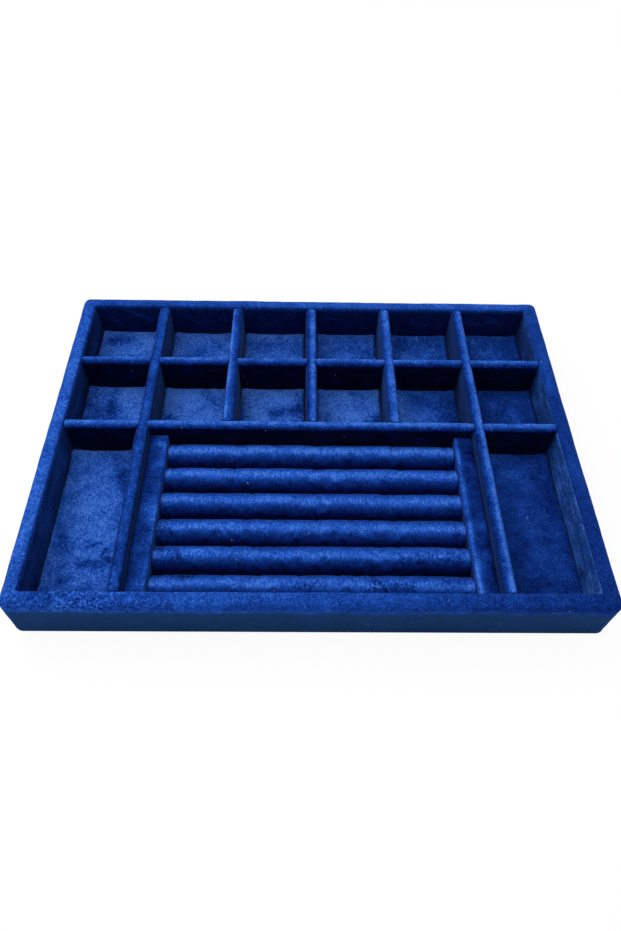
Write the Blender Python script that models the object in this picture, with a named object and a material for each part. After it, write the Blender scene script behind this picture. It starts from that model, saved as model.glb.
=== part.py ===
"""A velvet drawer jewelry organizer, built as its separate pieces.

A board tray wrapped in velvet: an egg crate of twelve small compartments at the back, two long compartments at
the front, and between them a ring holder of six padded rolls that lifts out. Lengths are in metres, +Z is up,
+Y points to the back, and the origin is the middle of the underside.
"""
import math

import bmesh
import bpy
from mathutils import Vector

# Tray size
WIDTH = 0.354
DEPTH = 0.262
HEIGHT = 0.036
CORNER_RADIUS = 0.0055
SQUARE_CORNER = 0.0008

# Stock thicknesses, and the glue line between two pieces
GLUE = 0.0003
VELVET = 0.0010
FELT = 0.0006
BASE_BOARD = 0.0025
WALL_BOARD = 0.0060
DIVIDER_BOARD = 0.0052
INSERT_BOARD = 0.0016
LINING = 0.0011

# Rim and underside of the velvet wrap
RIM_OUTER_RADIUS = 0.0044
RIM_INNER_RADIUS = 0.0021
RIM_BEAD = 0.0027
FOOT_RADIUS = 0.0008
TURN_IN = 0.0140
TURN_UNDER = 0.0160
FELT_INSET = 0.0060

# Egg crate
SMALL_COLUMNS = 6
SMALL_ROWS = 2
ROW_PITCH = 0.0607
DIVIDER_DROP = 0.0010
DIVIDER_ROUND = 0.0028

# Padded floor cards
PAD_GAP = 0.0005
PAD_SIDE = 0.0044
PAD_CROWN = 0.0008
PAD_EDGE_RADIUS = 0.0013
PAD_CORNER_RADIUS = 0.0030
PAD_DRAW_IN = 0.0004

# Ring holder
INSERT_SIDE_GAP = 0.0007
INSERT_END_GAP = 0.0006
RAIL_BOARD = 0.0094
RAIL_TOP = 0.0280
RAIL_ROUND = 0.0014
ROLL_COUNT = 6
ROLL_PRESS = 0.0034
ROLL_END_DRAW = 0.0009
ROLL_END_REACH = 0.0060
ROLL_WAVE = 0.0002
ROLL_WAVE_LENGTH = 0.0640

# Overrun of a cutter past the face that it cuts
OVERRUN = 0.0010

# Fineness of round shapes, and the angle past which a fold shows as a crease
CREASE_ANGLE = math.radians(40)
CORNER_STEPS = 4
ARC_STEPS = 4
BEVEL_STEPS = 3
PAD_CORNER_STEPS = 3
CROWN_STEPS = 3
ROLL_STEPS = 16
ROLL_STATIONS = 12

# Wall build-up, from the outer face inwards
WALL_OUTSIDE = VELVET + GLUE
WALL_INSIDE = WALL_OUTSIDE + WALL_BOARD
TUCK_OUTSIDE = WALL_INSIDE + GLUE
TUCK_INSIDE = TUCK_OUTSIDE + VELVET
LINING_OUTSIDE = TUCK_INSIDE + GLUE
RIM = LINING_OUTSIDE + LINING

# Levels, from the underside up
FOLD_BOTTOM = FELT + GLUE
FOLD_TOP = FOLD_BOTTOM + VELVET
BASE_BOTTOM = FOLD_TOP + GLUE
BASE_TOP = BASE_BOTTOM + BASE_BOARD
FLOOR = BASE_TOP + GLUE
LINING_TOP = HEIGHT - RIM_BEAD - GLUE
DIVIDER_TOP = HEIGHT - DIVIDER_DROP
DIVIDER_MIDDLE = (FLOOR + DIVIDER_TOP) / 2
INSERT_TOP = FLOOR + INSERT_BOARD
INSERT_SEAT = INSERT_TOP + GLUE

# Plan of the egg crate
INNER_X = WIDTH / 2 - RIM
INNER_Y = DEPTH / 2 - RIM
DIVIDER = DIVIDER_BOARD + 2 * GLUE + 2 * VELVET
COLUMN_PITCH = (2 * INNER_X + DIVIDER) / SMALL_COLUMNS
COLUMN_LINES = [INNER_X + DIVIDER / 2 - COLUMN_PITCH * (SMALL_COLUMNS - i) for i in range(1, SMALL_COLUMNS)]
CROSS_LINES = [INNER_Y + DIVIDER / 2 - ROW_PITCH * (i + 1) for i in range(SMALL_ROWS)]
LONG_LINES = [COLUMN_LINES[0], COLUMN_LINES[-1]]
SHORT_LINES = COLUMN_LINES[1:-1]
FRONT_CROSS = CROSS_LINES[-1]
BAY_BACK = FRONT_CROSS - DIVIDER / 2
BAY_HALF_WIDTH = COLUMN_LINES[-1] - DIVIDER / 2

# Plan of the ring holder
INSERT_HALF_WIDTH = BAY_HALF_WIDTH - INSERT_SIDE_GAP
INSERT_BACK = BAY_BACK - INSERT_END_GAP
INSERT_FRONT = -INNER_Y + INSERT_END_GAP
INSERT_MIDDLE = (INSERT_BACK + INSERT_FRONT) / 2
INSERT_LENGTH = INSERT_BACK - INSERT_FRONT
RAIL = RAIL_BOARD + 2 * GLUE + 2 * VELVET
RAIL_LINE = INSERT_HALF_WIDTH - RAIL / 2
ROLL_PITCH = INSERT_LENGTH / ROLL_COUNT
ROLL_RADIUS = (ROLL_PITCH - GLUE) / 2
ROLL_FLAT = ROLL_RADIUS - ROLL_PRESS
ROLL_LEVEL = INSERT_SEAT + ROLL_FLAT
ROLL_HALF_LENGTH = INSERT_HALF_WIDTH - RAIL - GLUE


def finish(name, colour, roughness):
    """A plain surface of one colour."""
    material = bpy.data.materials.new(name)
    material.use_nodes = True
    shader = material.node_tree.nodes["Principled BSDF"]
    shader.inputs["Base Color"].default_value = (*colour, 1.0)
    shader.inputs["Roughness"].default_value = roughness
    shader.inputs["Metallic"].default_value = 0.0
    return material


def remove_objects():
    """Empty the scene."""
    for old in list(bpy.data.objects):
        bpy.data.objects.remove(old)


def collection(name):
    """A new collection in the scene."""
    group = bpy.data.collections.new(name)
    bpy.context.scene.collection.children.link(group)
    return group


remove_objects()
PARTS = collection("drawer_jewelry_organizer")
CUTTERS = collection("cutters")
RIM_VELVET = finish("wrap_velvet", (0.018, 0.070, 0.340), 0.85)
LINING_VELVET = finish("lining_velvet", (0.012, 0.050, 0.230), 0.90)
DIVIDER_VELVET = finish("divider_velvet", (0.020, 0.080, 0.370), 0.85)
PAD_VELVET = finish("pad_velvet", (0.020, 0.085, 0.400), 0.85)
ROLL_VELVET = finish("roll_velvet", (0.020, 0.085, 0.420), 0.80)
RAIL_VELVET = finish("rail_velvet", (0.016, 0.065, 0.320), 0.85)
UNDER_FELT = finish("underside_felt", (0.010, 0.012, 0.020), 0.95)
BASE_FIBRE = finish("base_fibreboard", (0.350, 0.240, 0.140), 0.80)
WALL_FIBRE = finish("wall_fibreboard", (0.360, 0.250, 0.150), 0.80)
DIVIDER_CARD = finish("divider_greyboard", (0.300, 0.290, 0.270), 0.85)
INSERT_CARD = finish("insert_greyboard", (0.280, 0.270, 0.250), 0.85)
ROLL_FOAM = finish("roll_foam", (0.620, 0.610, 0.560), 0.95)


def add_part(name, mesh, material, location=(0.0, 0.0, 0.0)):
    """Turn a mesh into a named piece of the organizer."""
    part = bpy.data.objects.new(name, mesh)
    part.location = location
    mesh.materials.append(material)
    PARTS.objects.link(part)
    return part


def is_rounded(edge, size, edges):
    """Whether an edge of a box is one of those to round: upright ones, the long ones on top, or a cover's."""
    run = edge.verts[1].co - edge.verts[0].co
    upright = abs(run.z) > 0
    on_top = min(vert.co.z for vert in edge.verts) > 0
    along = abs(run.x) > 0 if size.x > size.y else abs(run.y) > 0
    if edges == "upright":
        return upright
    if edges == "long top":
        return on_top and along
    return edges == "cover" and (upright or on_top)


def box_mesh(name, size, bevel, edges):
    """A box round its own middle, with some of its edges rounded."""
    shape = bmesh.new()
    bmesh.ops.create_cube(shape, size=1.0)
    bmesh.ops.scale(shape, vec=size, verts=shape.verts)
    rounded = [edge for edge in shape.edges if is_rounded(edge, size, edges)]
    if rounded:
        bmesh.ops.bevel(shape, geom=rounded, offset=bevel, segments=BEVEL_STEPS, profile=0.5, affect="EDGES")
    mesh = bpy.data.meshes.new(name)
    shape.to_mesh(mesh)
    shape.free()
    return mesh


def block(name, low, high, material, bevel=0.0, edges="none"):
    """A box-shaped piece between two corners."""
    low, high = Vector(low), Vector(high)
    return add_part(name, box_mesh(name, high - low, bevel, edges), material, (low + high) / 2)


def cutter(name, mesh, location=(0.0, 0.0, 0.0)):
    """A shape that is cut out of pieces, or that trims them, and is no piece itself."""
    tool = bpy.data.objects.new(name, mesh)
    tool.location = location
    tool.hide_render = True
    tool.display_type = "WIRE"
    CUTTERS.objects.link(tool)
    return tool


def box_cutter(name, low, high):
    """A cutter in the shape of a box between two corners."""
    low, high = Vector(low), Vector(high)
    return cutter(name, box_mesh(name, high - low, 0.0, "none"), (low + high) / 2)


def cut(part, tool, operation="DIFFERENCE"):
    """Cut a tool out of a piece, or keep only what lies inside it."""
    modifier = part.modifiers.new(tool.name, "BOOLEAN")
    modifier.operation = operation
    modifier.solver = "EXACT"
    modifier.object = tool


def loft_mesh(name, rings, closed):
    """A skin through rings of points, closed on itself or capped at both ends."""
    shape = bmesh.new()
    rows = [[shape.verts.new(point) for point in ring] for ring in rings]
    pairs = list(zip(rows, rows[1:]))
    if closed:
        pairs.append((rows[-1], rows[0]))
    for lower, upper in pairs:
        count = len(lower)
        for i in range(count):
            j = (i + 1) % count
            shape.faces.new((lower[i], lower[j], upper[j], upper[i]))
    if not closed:
        shape.faces.new(rows[0])
        shape.faces.new(rows[-1])
    bmesh.ops.recalc_face_normals(shape, faces=shape.faces)
    mesh = bpy.data.meshes.new(name)
    shape.to_mesh(mesh)
    shape.free()
    mesh.shade_smooth()
    mesh.set_sharp_from_angle(angle=CREASE_ANGLE)
    return mesh


def rounded_ring(half_x, half_y, radius, level, steps):
    """Points round a rectangle with arcs at its corners."""
    points = []
    for corner in range(4):
        side_x = 1 if corner in (0, 3) else -1
        side_y = 1 if corner in (0, 1) else -1
        for step in range(steps + 1):
            angle = math.pi / 2 * (corner + step / steps)
            x = side_x * (half_x - radius) + radius * math.cos(angle)
            y = side_y * (half_y - radius) + radius * math.sin(angle)
            points.append((x, y, level))
    return points


def tray_ring(inset, level):
    """A ring that follows the tray's outline, a distance inside its outer face."""
    radius = max(CORNER_RADIUS - inset, SQUARE_CORNER)
    return rounded_ring(WIDTH / 2 - inset, DEPTH / 2 - inset, radius, level, CORNER_STEPS)


def quarter(middle, radius, start):
    """Points of a quarter circle in a plane of insets and levels, clockwise from an angle."""
    angles = [start - math.pi / 2 * step / ARC_STEPS for step in range(ARC_STEPS + 1)]
    return [(middle[0] + radius * math.cos(a), middle[1] + radius * math.sin(a)) for a in angles]


def build_bottom():
    """The felt-faced card underneath and the stiff base board."""
    window = TURN_UNDER + GLUE
    steps = [(FELT_INSET, 0.0), (FELT_INSET, FELT), (window, FELT), (window, FOLD_TOP)]
    rings = [tray_ring(inset, level) for inset, level in steps]
    add_part("bottom_lining", loft_mesh("bottom_lining", rings, False), UNDER_FELT)
    low = (WALL_OUTSIDE - WIDTH / 2, WALL_OUTSIDE - DEPTH / 2, BASE_BOTTOM)
    high = (WIDTH / 2 - WALL_OUTSIDE, DEPTH / 2 - WALL_OUTSIDE, BASE_TOP)
    block("base_board", low, high, BASE_FIBRE, CORNER_RADIUS - WALL_OUTSIDE, "upright")


def build_walls():
    """Four wall boards, butted at the corners, their outer edges rounded to follow the wrap."""
    out_x = WIDTH / 2 - WALL_OUTSIDE
    out_y = DEPTH / 2 - WALL_OUTSIDE
    in_x = WIDTH / 2 - WALL_INSIDE
    in_y = DEPTH / 2 - WALL_INSIDE
    top = HEIGHT - WALL_OUTSIDE + OVERRUN
    shoulder = (RIM_OUTER_RADIUS, HEIGHT - RIM_OUTER_RADIUS)
    section = [(WALL_OUTSIDE, FLOOR - OVERRUN)] + quarter(shoulder, RIM_OUTER_RADIUS - WALL_OUTSIDE, math.pi)
    rings = [tray_ring(inset, level) for inset, level in section]
    outline = cutter("wall_outline", loft_mesh("wall_outline", rings, False))
    for name, side in (("front_wall_board", -1), ("back_wall_board", 1)):
        near, far = sorted((side * in_y, side * out_y))
        board = block(name, (-out_x, near, FLOOR), (out_x, far, top), WALL_FIBRE)
        cut(board, outline, "INTERSECT")
    for name, side in (("left_wall_board", -1), ("right_wall_board", 1)):
        near, far = sorted((side * in_x, side * out_x))
        board = block(name, (near, GLUE - in_y, FLOOR), (far, in_y - GLUE, top), WALL_FIBRE)
        cut(board, outline, "INTERSECT")


def build_wrap():
    """The velvet skin: under the base, up the outside, over the rim and down behind the linings."""
    foot = (FOOT_RADIUS, FOLD_BOTTOM + FOOT_RADIUS)
    outer = (RIM_OUTER_RADIUS, HEIGHT - RIM_OUTER_RADIUS)
    inner = (RIM - RIM_INNER_RADIUS, HEIGHT - RIM_INNER_RADIUS)
    tuck_bottom = HEIGHT - TURN_IN
    under_top = HEIGHT - VELVET
    section = [(TURN_UNDER, FOLD_BOTTOM)]
    section += quarter(foot, FOOT_RADIUS, math.pi * 3 / 2)
    section += quarter(outer, RIM_OUTER_RADIUS, math.pi)
    section += quarter(inner, RIM_INNER_RADIUS, math.pi / 2)
    section += [(RIM, HEIGHT - RIM_BEAD), (TUCK_INSIDE, HEIGHT - RIM_BEAD)]
    section += [(TUCK_INSIDE, tuck_bottom), (TUCK_OUTSIDE, tuck_bottom), (TUCK_OUTSIDE, under_top)]
    section += reversed(quarter(outer, RIM_OUTER_RADIUS - VELVET, math.pi))
    section += [(VELVET, FOLD_TOP), (TURN_UNDER, FOLD_TOP)]
    rings = [tray_ring(inset, level) for inset, level in section]
    add_part("outer_velvet_wrap", loft_mesh("outer_velvet_wrap", rings, True), RIM_VELVET)


def build_linings():
    """Velvet-covered cards glued inside the walls."""
    out_x = WIDTH / 2 - LINING_OUTSIDE
    out_y = DEPTH / 2 - LINING_OUTSIDE
    for name, side in (("front_lining", -1), ("back_lining", 1)):
        near, far = sorted((side * INNER_Y, side * out_y))
        end = out_x - SQUARE_CORNER
        block(name, (-end, near, FLOOR), (end, far, LINING_TOP), LINING_VELVET)
    for name, side in (("left_lining", -1), ("right_lining", 1)):
        near, far = sorted((side * INNER_X, side * out_x))
        end = INNER_Y - GLUE
        block(name, (near, -end, FLOOR), (far, end, LINING_TOP), LINING_VELVET)


def build_divider(name, low, high, slots):
    """A board and the velvet sleeve over it, both cut by the slots of the egg crate."""
    low, high = Vector(low), Vector(high)
    lengthwise = high.y - low.y > high.x - low.x
    skin = VELVET + GLUE
    sides = Vector((skin, 0.0, 0.0)) if lengthwise else Vector((0.0, skin, 0.0))
    board_low = low + sides
    board_high = high - sides - Vector((0.0, 0.0, skin))
    board = block(f"{name}_board", board_low, board_high, DIVIDER_CARD)
    sleeve = block(f"{name}_velvet", low, high, DIVIDER_VELVET, DIVIDER_ROUND, "long top")
    ends = Vector((GLUE, OVERRUN, GLUE)) if lengthwise else Vector((OVERRUN, GLUE, GLUE))
    below = Vector((0.0, 0.0, OVERRUN))
    cut(sleeve, box_cutter(f"{name}_pocket", board_low - ends - below, board_high + ends))
    for slot in slots:
        cut(board, slot)
        cut(sleeve, slot)


def build_egg_crate():
    """Five dividers front to back and two across, each slotted to half its height where they cross."""
    slot = DIVIDER / 2 + GLUE
    under = []
    for i, line in enumerate(CROSS_LINES):
        low = (-INNER_X, line - slot, FLOOR - OVERRUN)
        high = (INNER_X, line + slot, DIVIDER_MIDDLE + GLUE / 2)
        under.append(box_cutter(f"cross_slot_{i + 1}", low, high))
    over = []
    for i, line in enumerate(COLUMN_LINES):
        front = FRONT_CROSS if line in LONG_LINES else CROSS_LINES[0]
        low = (line - slot, front - DIVIDER, DIVIDER_MIDDLE - GLUE / 2)
        high = (line + slot, CROSS_LINES[0] + DIVIDER, DIVIDER_TOP + OVERRUN)
        over.append(box_cutter(f"column_slot_{i + 1}", low, high))
    back = INNER_Y - GLUE
    for side, line in zip(("left", "right"), LONG_LINES):
        low = (line - DIVIDER / 2, -back, FLOOR)
        build_divider(f"long_divider_{side}", low, (line + DIVIDER / 2, back, DIVIDER_TOP), under)
    for side, line in zip(("left", "middle", "right"), SHORT_LINES):
        low = (line - DIVIDER / 2, FRONT_CROSS + DIVIDER / 2 + GLUE, FLOOR)
        build_divider(f"short_divider_{side}", low, (line + DIVIDER / 2, back, DIVIDER_TOP), under[:1])
    end = INNER_X - GLUE
    cross_slots = {"rear": over, "front": [over[0], over[-1]]}
    for (side, slots), line in zip(cross_slots.items(), CROSS_LINES):
        low = (-end, line - DIVIDER / 2, FLOOR)
        build_divider(f"{side}_cross_divider", low, (end, line + DIVIDER / 2, DIVIDER_TOP), slots)


def pad_rings(half_x, half_y):
    """Rings of a velvet-covered card: flat below, drawn-in sides, a round edge and a low crown."""
    edge = PAD_SIDE - PAD_EDGE_RADIUS
    steps = [(PAD_DRAW_IN, 0.0), (0.0, edge / 2), (0.0, edge)]
    for i in range(1, ARC_STEPS + 1):
        angle = math.pi / 2 * i / ARC_STEPS
        steps.append((PAD_EDGE_RADIUS * (1 - math.cos(angle)), edge + PAD_EDGE_RADIUS * math.sin(angle)))
    reach = min(half_x, half_y) - PAD_CORNER_RADIUS
    for i in range(1, CROWN_STEPS + 1):
        share = i / (CROWN_STEPS + 1)
        rise = PAD_CROWN * math.sin(math.pi / 2 * share)
        steps.append((PAD_EDGE_RADIUS + (reach - PAD_EDGE_RADIUS) * share, PAD_SIDE + rise))
    rings = []
    for inset, level in steps:
        radius = max(PAD_CORNER_RADIUS - inset, SQUARE_CORNER)
        rings.append(rounded_ring(half_x - inset, half_y - inset, radius, level, PAD_CORNER_STEPS))
    return rings


def add_pad(name, low, high):
    """A padded floor card that fills a compartment's floor but for a small gap."""
    half_x = (high[0] - low[0]) / 2 - PAD_GAP
    half_y = (high[1] - low[1]) / 2 - PAD_GAP
    place = ((low[0] + high[0]) / 2, (low[1] + high[1]) / 2, FLOOR)
    add_part(name, loft_mesh(name, pad_rings(half_x, half_y), False), PAD_VELVET, place)


def build_pads():
    """Twelve small floor cards and two long ones."""
    half = DIVIDER / 2
    lefts = [-INNER_X] + [line + half for line in COLUMN_LINES]
    rights = [line - half for line in COLUMN_LINES] + [INNER_X]
    backs = [INNER_Y] + [line - half for line in CROSS_LINES]
    fronts = [line + half for line in CROSS_LINES]
    for row, (front, back) in enumerate(zip(fronts, backs)):
        for column, (left, right) in enumerate(zip(lefts, rights)):
            add_pad(f"cell_pad_row{row + 1}_{column + 1}", (left, front), (right, back))
    add_pad("long_pad_left", (lefts[0], -INNER_Y), (rights[0], BAY_BACK))
    add_pad("long_pad_right", (lefts[-1], -INNER_Y), (rights[-1], BAY_BACK))


def add_rail(side, name):
    """A strip and the velvet cover over it, at one side of the ring holder."""
    middle = side * RAIL_LINE
    low = (middle - RAIL / 2, INSERT_FRONT, INSERT_SEAT)
    high = (middle + RAIL / 2, INSERT_BACK, RAIL_TOP)
    cover = block(f"{name}_velvet", low, high, RAIL_VELVET, RAIL_ROUND, "cover")
    skin = Vector((VELVET + GLUE, VELVET + GLUE, 0.0))
    board_low = Vector(low) + skin
    board_high = Vector(high) - skin - Vector((0.0, 0.0, VELVET + GLUE))
    block(f"{name}_board", board_low, board_high, INSERT_CARD)
    spare = Vector((GLUE, GLUE, GLUE))
    pocket_low = board_low - spare - Vector((0.0, 0.0, OVERRUN))
    cut(cover, box_cutter(f"{name}_pocket", pocket_low, board_high + spare))


def roll_section(x, radius, flat):
    """A round section with a flat underside, square to the roll."""
    open_angle = math.asin(flat / radius)
    sweep = math.pi + 2 * open_angle
    angles = [sweep * i / ROLL_STEPS - open_angle for i in range(ROLL_STEPS + 1)]
    return [(x, radius * math.cos(angle), radius * math.sin(angle)) for angle in angles]


def roll_radius(x, phase):
    """The roll's radius along its length: drawn in at the ends, with a slight wave between them."""
    to_end = (ROLL_HALF_LENGTH - abs(x)) / ROLL_END_REACH
    drawn = ROLL_END_DRAW * math.exp(-to_end * to_end)
    wave = ROLL_WAVE * (1 + math.sin(2 * math.pi * x / ROLL_WAVE_LENGTH + phase)) / 2
    return ROLL_RADIUS - drawn - wave


def add_roll(index):
    """A foam core and its velvet cover, open at both ends."""
    y = INSERT_BACK - ROLL_PITCH * (index + 1 / 2)
    phase = 2 * math.pi * index / ROLL_COUNT
    core_radius = ROLL_RADIUS - ROLL_END_DRAW - ROLL_WAVE - VELVET - GLUE
    core_flat = ROLL_FLAT - VELVET - GLUE
    half = ROLL_HALF_LENGTH
    tuck = ROLL_END_REACH / 2
    left_end = [-half, tuck - half]
    middle = [(2 * tuck - half) * (1 - 2 * i / ROLL_STATIONS) for i in range(ROLL_STATIONS + 1)]
    right_end = [half - tuck, half]
    outside = [roll_section(x, roll_radius(x, phase), ROLL_FLAT) for x in left_end + middle + right_end]
    bore = [roll_section(x, core_radius + GLUE, core_flat + GLUE) for x in (half, -half)]
    place = (0.0, y, ROLL_LEVEL)
    name = f"ring_roll_{index + 1}"
    add_part(f"{name}_velvet", loft_mesh(f"{name}_velvet", outside + bore, True), ROLL_VELVET, place)
    core = [roll_section(x, core_radius, core_flat) for x in (-half, half)]
    add_part(f"{name}_foam", loft_mesh(f"{name}_foam", core, False), ROLL_FOAM, place)


def build_ring_holder():
    """The drop-in ring holder, carried by an empty at the middle of its seat."""
    before = set(PARTS.objects)
    low = (-INSERT_HALF_WIDTH, INSERT_FRONT, FLOOR)
    block("insert_base_board", low, (INSERT_HALF_WIDTH, INSERT_BACK, INSERT_TOP), INSERT_CARD)
    add_rail(-1, "insert_rail_left")
    add_rail(1, "insert_rail_right")
    for index in range(ROLL_COUNT):
        add_roll(index)
    seat = bpy.data.objects.new("ring_holder_seat", None)
    seat.location = (0.0, INSERT_MIDDLE, FLOOR)
    PARTS.objects.link(seat)
    bpy.context.view_layer.update()
    for part in set(PARTS.objects) - before - {seat}:
        part.parent = seat
        part.matrix_parent_inverse = seat.matrix_world.inverted()


build_bottom()
build_walls()
build_wrap()
build_linings()
build_egg_crate()
build_pads()
build_ring_holder()
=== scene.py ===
"""Looks of the drawer jewelry organizer.

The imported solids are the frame. Each soft solid gives way to a finer piece of velvet, felt or foam that sits
in its place, and the boards keep their solids and get their finish. Lengths are in metres, +Z is up and +Y is
the back.
"""

import logging
import math
from collections.abc import Iterable, Sequence
from dataclasses import dataclass, field
from enum import Enum

import bpy
import numpy as np
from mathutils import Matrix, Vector, noise


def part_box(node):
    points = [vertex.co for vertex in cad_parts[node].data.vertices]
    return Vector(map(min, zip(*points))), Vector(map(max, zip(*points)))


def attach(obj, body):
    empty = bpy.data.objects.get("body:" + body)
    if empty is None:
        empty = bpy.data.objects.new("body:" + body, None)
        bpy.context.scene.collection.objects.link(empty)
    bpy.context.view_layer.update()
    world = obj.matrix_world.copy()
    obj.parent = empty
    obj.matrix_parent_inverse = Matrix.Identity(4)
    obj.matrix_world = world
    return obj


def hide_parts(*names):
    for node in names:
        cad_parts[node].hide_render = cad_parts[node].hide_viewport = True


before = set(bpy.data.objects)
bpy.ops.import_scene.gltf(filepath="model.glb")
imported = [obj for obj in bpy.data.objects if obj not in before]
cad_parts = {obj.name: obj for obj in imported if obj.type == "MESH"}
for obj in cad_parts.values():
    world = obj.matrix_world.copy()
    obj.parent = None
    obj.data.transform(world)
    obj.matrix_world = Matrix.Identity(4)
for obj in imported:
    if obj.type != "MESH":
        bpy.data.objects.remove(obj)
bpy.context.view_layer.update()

LOG = logging.getLogger("organizer")

Triple = tuple[float, float, float]
Face = tuple[int, ...]

# Cloth and glue line, as the solids have them
VELVET = 0.0010
GLUE = 0.0003

# Grain sizes of the pile: its tips, tufts, tangles, loose feathering and worn patches
PILE = 0.0007
TUFT = 0.0017
SNARL = 0.0020
FEATHER = 0.0011
PATCH = 0.0085

# How far apart lint lies, and where a hair's edge starts and ends as a share of that
LINT = 0.0100
HAIR = (0.012, 0.035)

SIDES = ("front", "back", "left", "right")


def shade(code: int) -> Triple:
    """A colour for the shader from its usual red, green and blue code.

    Args:
        code: The colour as a number, with eight bits for each of red, green and blue.

    Returns:
        The colour in linear light.
    """
    parts = [(code >> shift & 255) / 255 for shift in (16, 8, 0)]
    linear = [part / 12.92 if part <= 0.04045 else ((part + 0.055) / 1.055) ** 2.4 for part in parts]
    return linear[0], linear[1], linear[2]


class Graph:
    """The nodes of one material, added and joined in order."""

    def __init__(self, name: str) -> None:
        """Start a material with its shader and the piece's own coordinates."""
        self.material = bpy.data.materials.new(name)
        self.material.use_nodes = True
        self.tree = self.material.node_tree
        self.shader = self.tree.nodes["Principled BSDF"]
        self.place = self.node("ShaderNodeTexCoord").outputs["Object"]

    def node(self, kind: str, **inputs: object) -> bpy.types.Node:
        """Add a node.

        Args:
            kind: The node's type.
            inputs: Values or sockets for its inputs, by their names with underscores.

        Returns:
            The new node.
        """
        made = self.tree.nodes.new(kind)
        for key, value in inputs.items():
            self.feed(made.inputs[key.replace("_", " ")], value)
        return made

    def feed(self, socket: bpy.types.NodeSocket, value: object) -> None:
        """Join a socket to another, or give it a value.

        Args:
            socket: The input to fill.
            value: A socket to join, or a plain value.
        """
        if isinstance(value, bpy.types.NodeSocket):
            self.tree.links.new(value, socket)
        else:
            socket.default_value = value

    def maths(self, operation: str, *terms: object) -> bpy.types.NodeSocket:
        """Work out a number from others.

        Args:
            operation: The maths node's operation.
            terms: Sockets or numbers, in order.

        Returns:
            The result's socket.
        """
        made = self.tree.nodes.new("ShaderNodeMath")
        made.operation = operation
        for socket, term in zip(made.inputs, terms):
            self.feed(socket, term)
        return made.outputs[0]

    def swing(self, value: bpy.types.NodeSocket, amount: float) -> bpy.types.NodeSocket:
        """A noise value as a swing to both sides of nothing."""
        return self.maths("MULTIPLY", self.maths("SUBTRACT", value, 0.5), 2 * amount)

    def total(self, first: bpy.types.NodeSocket, *rest: bpy.types.NodeSocket) -> bpy.types.NodeSocket:
        """The sum of several numbers."""
        for term in rest:
            first = self.maths("ADD", first, term)
        return first

    def attribute(self, name: str) -> bpy.types.NodeSocket:
        """A number that is stored on the mesh."""
        made = self.tree.nodes.new("ShaderNodeAttribute")
        made.attribute_name = name
        return made.outputs["Fac"]

    def stretched(self, run: Triple, offset: float = 0.0) -> bpy.types.NodeSocket:
        """The piece's coordinates, scaled along each axis and moved.

        Args:
            run: How much finer the pattern is along each axis.
            offset: A move along all three axes, so that two patterns differ.

        Returns:
            The coordinates' socket.
        """
        made = self.node("ShaderNodeMapping", Vector=self.place, Scale=run, Location=(offset,) * 3)
        return made.outputs["Vector"]

    def noise(self, size: float, detail: float = 2.0, distortion: float = 0.0, run: Triple = (1.0, 1.0, 1.0),
              offset: float = 0.0) -> bpy.types.NodeSocket:
        """A cloudy pattern.

        Args:
            size: The size of its clouds.
            detail: How many finer layers it has.
            distortion: How much it swirls.
            run: How much finer it is along each axis.
            offset: Where it starts.

        Returns:
            The pattern's value, about 0.5 on average.
        """
        made = self.node("ShaderNodeTexNoise", Vector=self.stretched(run, offset), Scale=1 / size,
                         Detail=detail, Distortion=distortion)
        return made.outputs[0]

    def window(self, value: bpy.types.NodeSocket, low: float, high: float) -> bpy.types.NodeSocket:
        """A value that rises smoothly from 0 to 1 between two limits."""
        made = self.node("ShaderNodeMapRange", Value=value)
        made.interpolation_type = "SMOOTHSTEP"
        made.inputs["From Min"].default_value = low
        made.inputs["From Max"].default_value = high
        return made.outputs["Result"]

    def ramp(self, value: bpy.types.NodeSocket,
             stops: Sequence[tuple[float, Triple]]) -> bpy.types.NodeSocket:
        """A colour from a value.

        Args:
            value: The value, from 0 to 1.
            stops: Values and their colours, in order.

        Returns:
            The colour's socket.
        """
        made = self.node("ShaderNodeValToRGB", Fac=value)
        elements = made.color_ramp.elements
        while len(elements) < len(stops):
            elements.new(0.5)
        for element, (place, colour) in zip(elements, stops):
            element.position = place
            element.color = (*colour, 1.0)
        return made.outputs["Color"]

    def mixed(self, share: object, first: object, second: object) -> bpy.types.NodeSocket:
        """One colour that turns into another.

        Args:
            share: 0 for the first colour and 1 for the second, as a socket or number.
            first: The first colour, as a socket or three numbers.
            second: The second colour, as a socket or three numbers.

        Returns:
            The mixed colour's socket.
        """
        made = self.tree.nodes.new("ShaderNodeMix")
        made.data_type = "RGBA"
        self.feed(made.inputs["Factor"], share)
        for socket, colour in zip((made.inputs[6], made.inputs[7]), (first, second)):
            self.feed(socket, colour if isinstance(colour, bpy.types.NodeSocket) else (*colour, 1.0))
        return made.outputs[2]

    def relief(self, height: bpy.types.NodeSocket, depth: float, strength: float) -> None:
        """Make the surface look raised by a pattern.

        Args:
            height: The pattern, from 0 to 1.
            depth: The height of its highest places.
            strength: How strongly it shows.
        """
        made = self.node("ShaderNodeBump", Height=height, Distance=depth, Strength=strength)
        self.feed(self.shader.inputs["Normal"], made.outputs["Normal"])

    def surface(self, **values: object) -> None:
        """Set or join the shader's own sockets, by their names with underscores."""
        for key, value in values.items():
            self.feed(self.shader.inputs[key.replace("_", " ")], value)


# The velvet's blue, from the deepest painted shade in the pile to its brightest painted sheen
BLUES = (
    (0.00, shade(0x010216)),
    (0.12, shade(0x030935)),
    (0.25, shade(0x061854)),
    (0.40, shade(0x0B286C)),
    (0.55, shade(0x123785)),
    (0.70, shade(0x1945A1)),
    (0.85, shade(0x2A5BB9)),
    (1.00, shade(0x4472CC)),
)
# Slate greys that the painted grey sheen and shade turn the blue into
SLATE = (shade(0x06162A), shade(0x1D3F70))
LINT_GREY = shade(0xA4C8FF)


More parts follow.
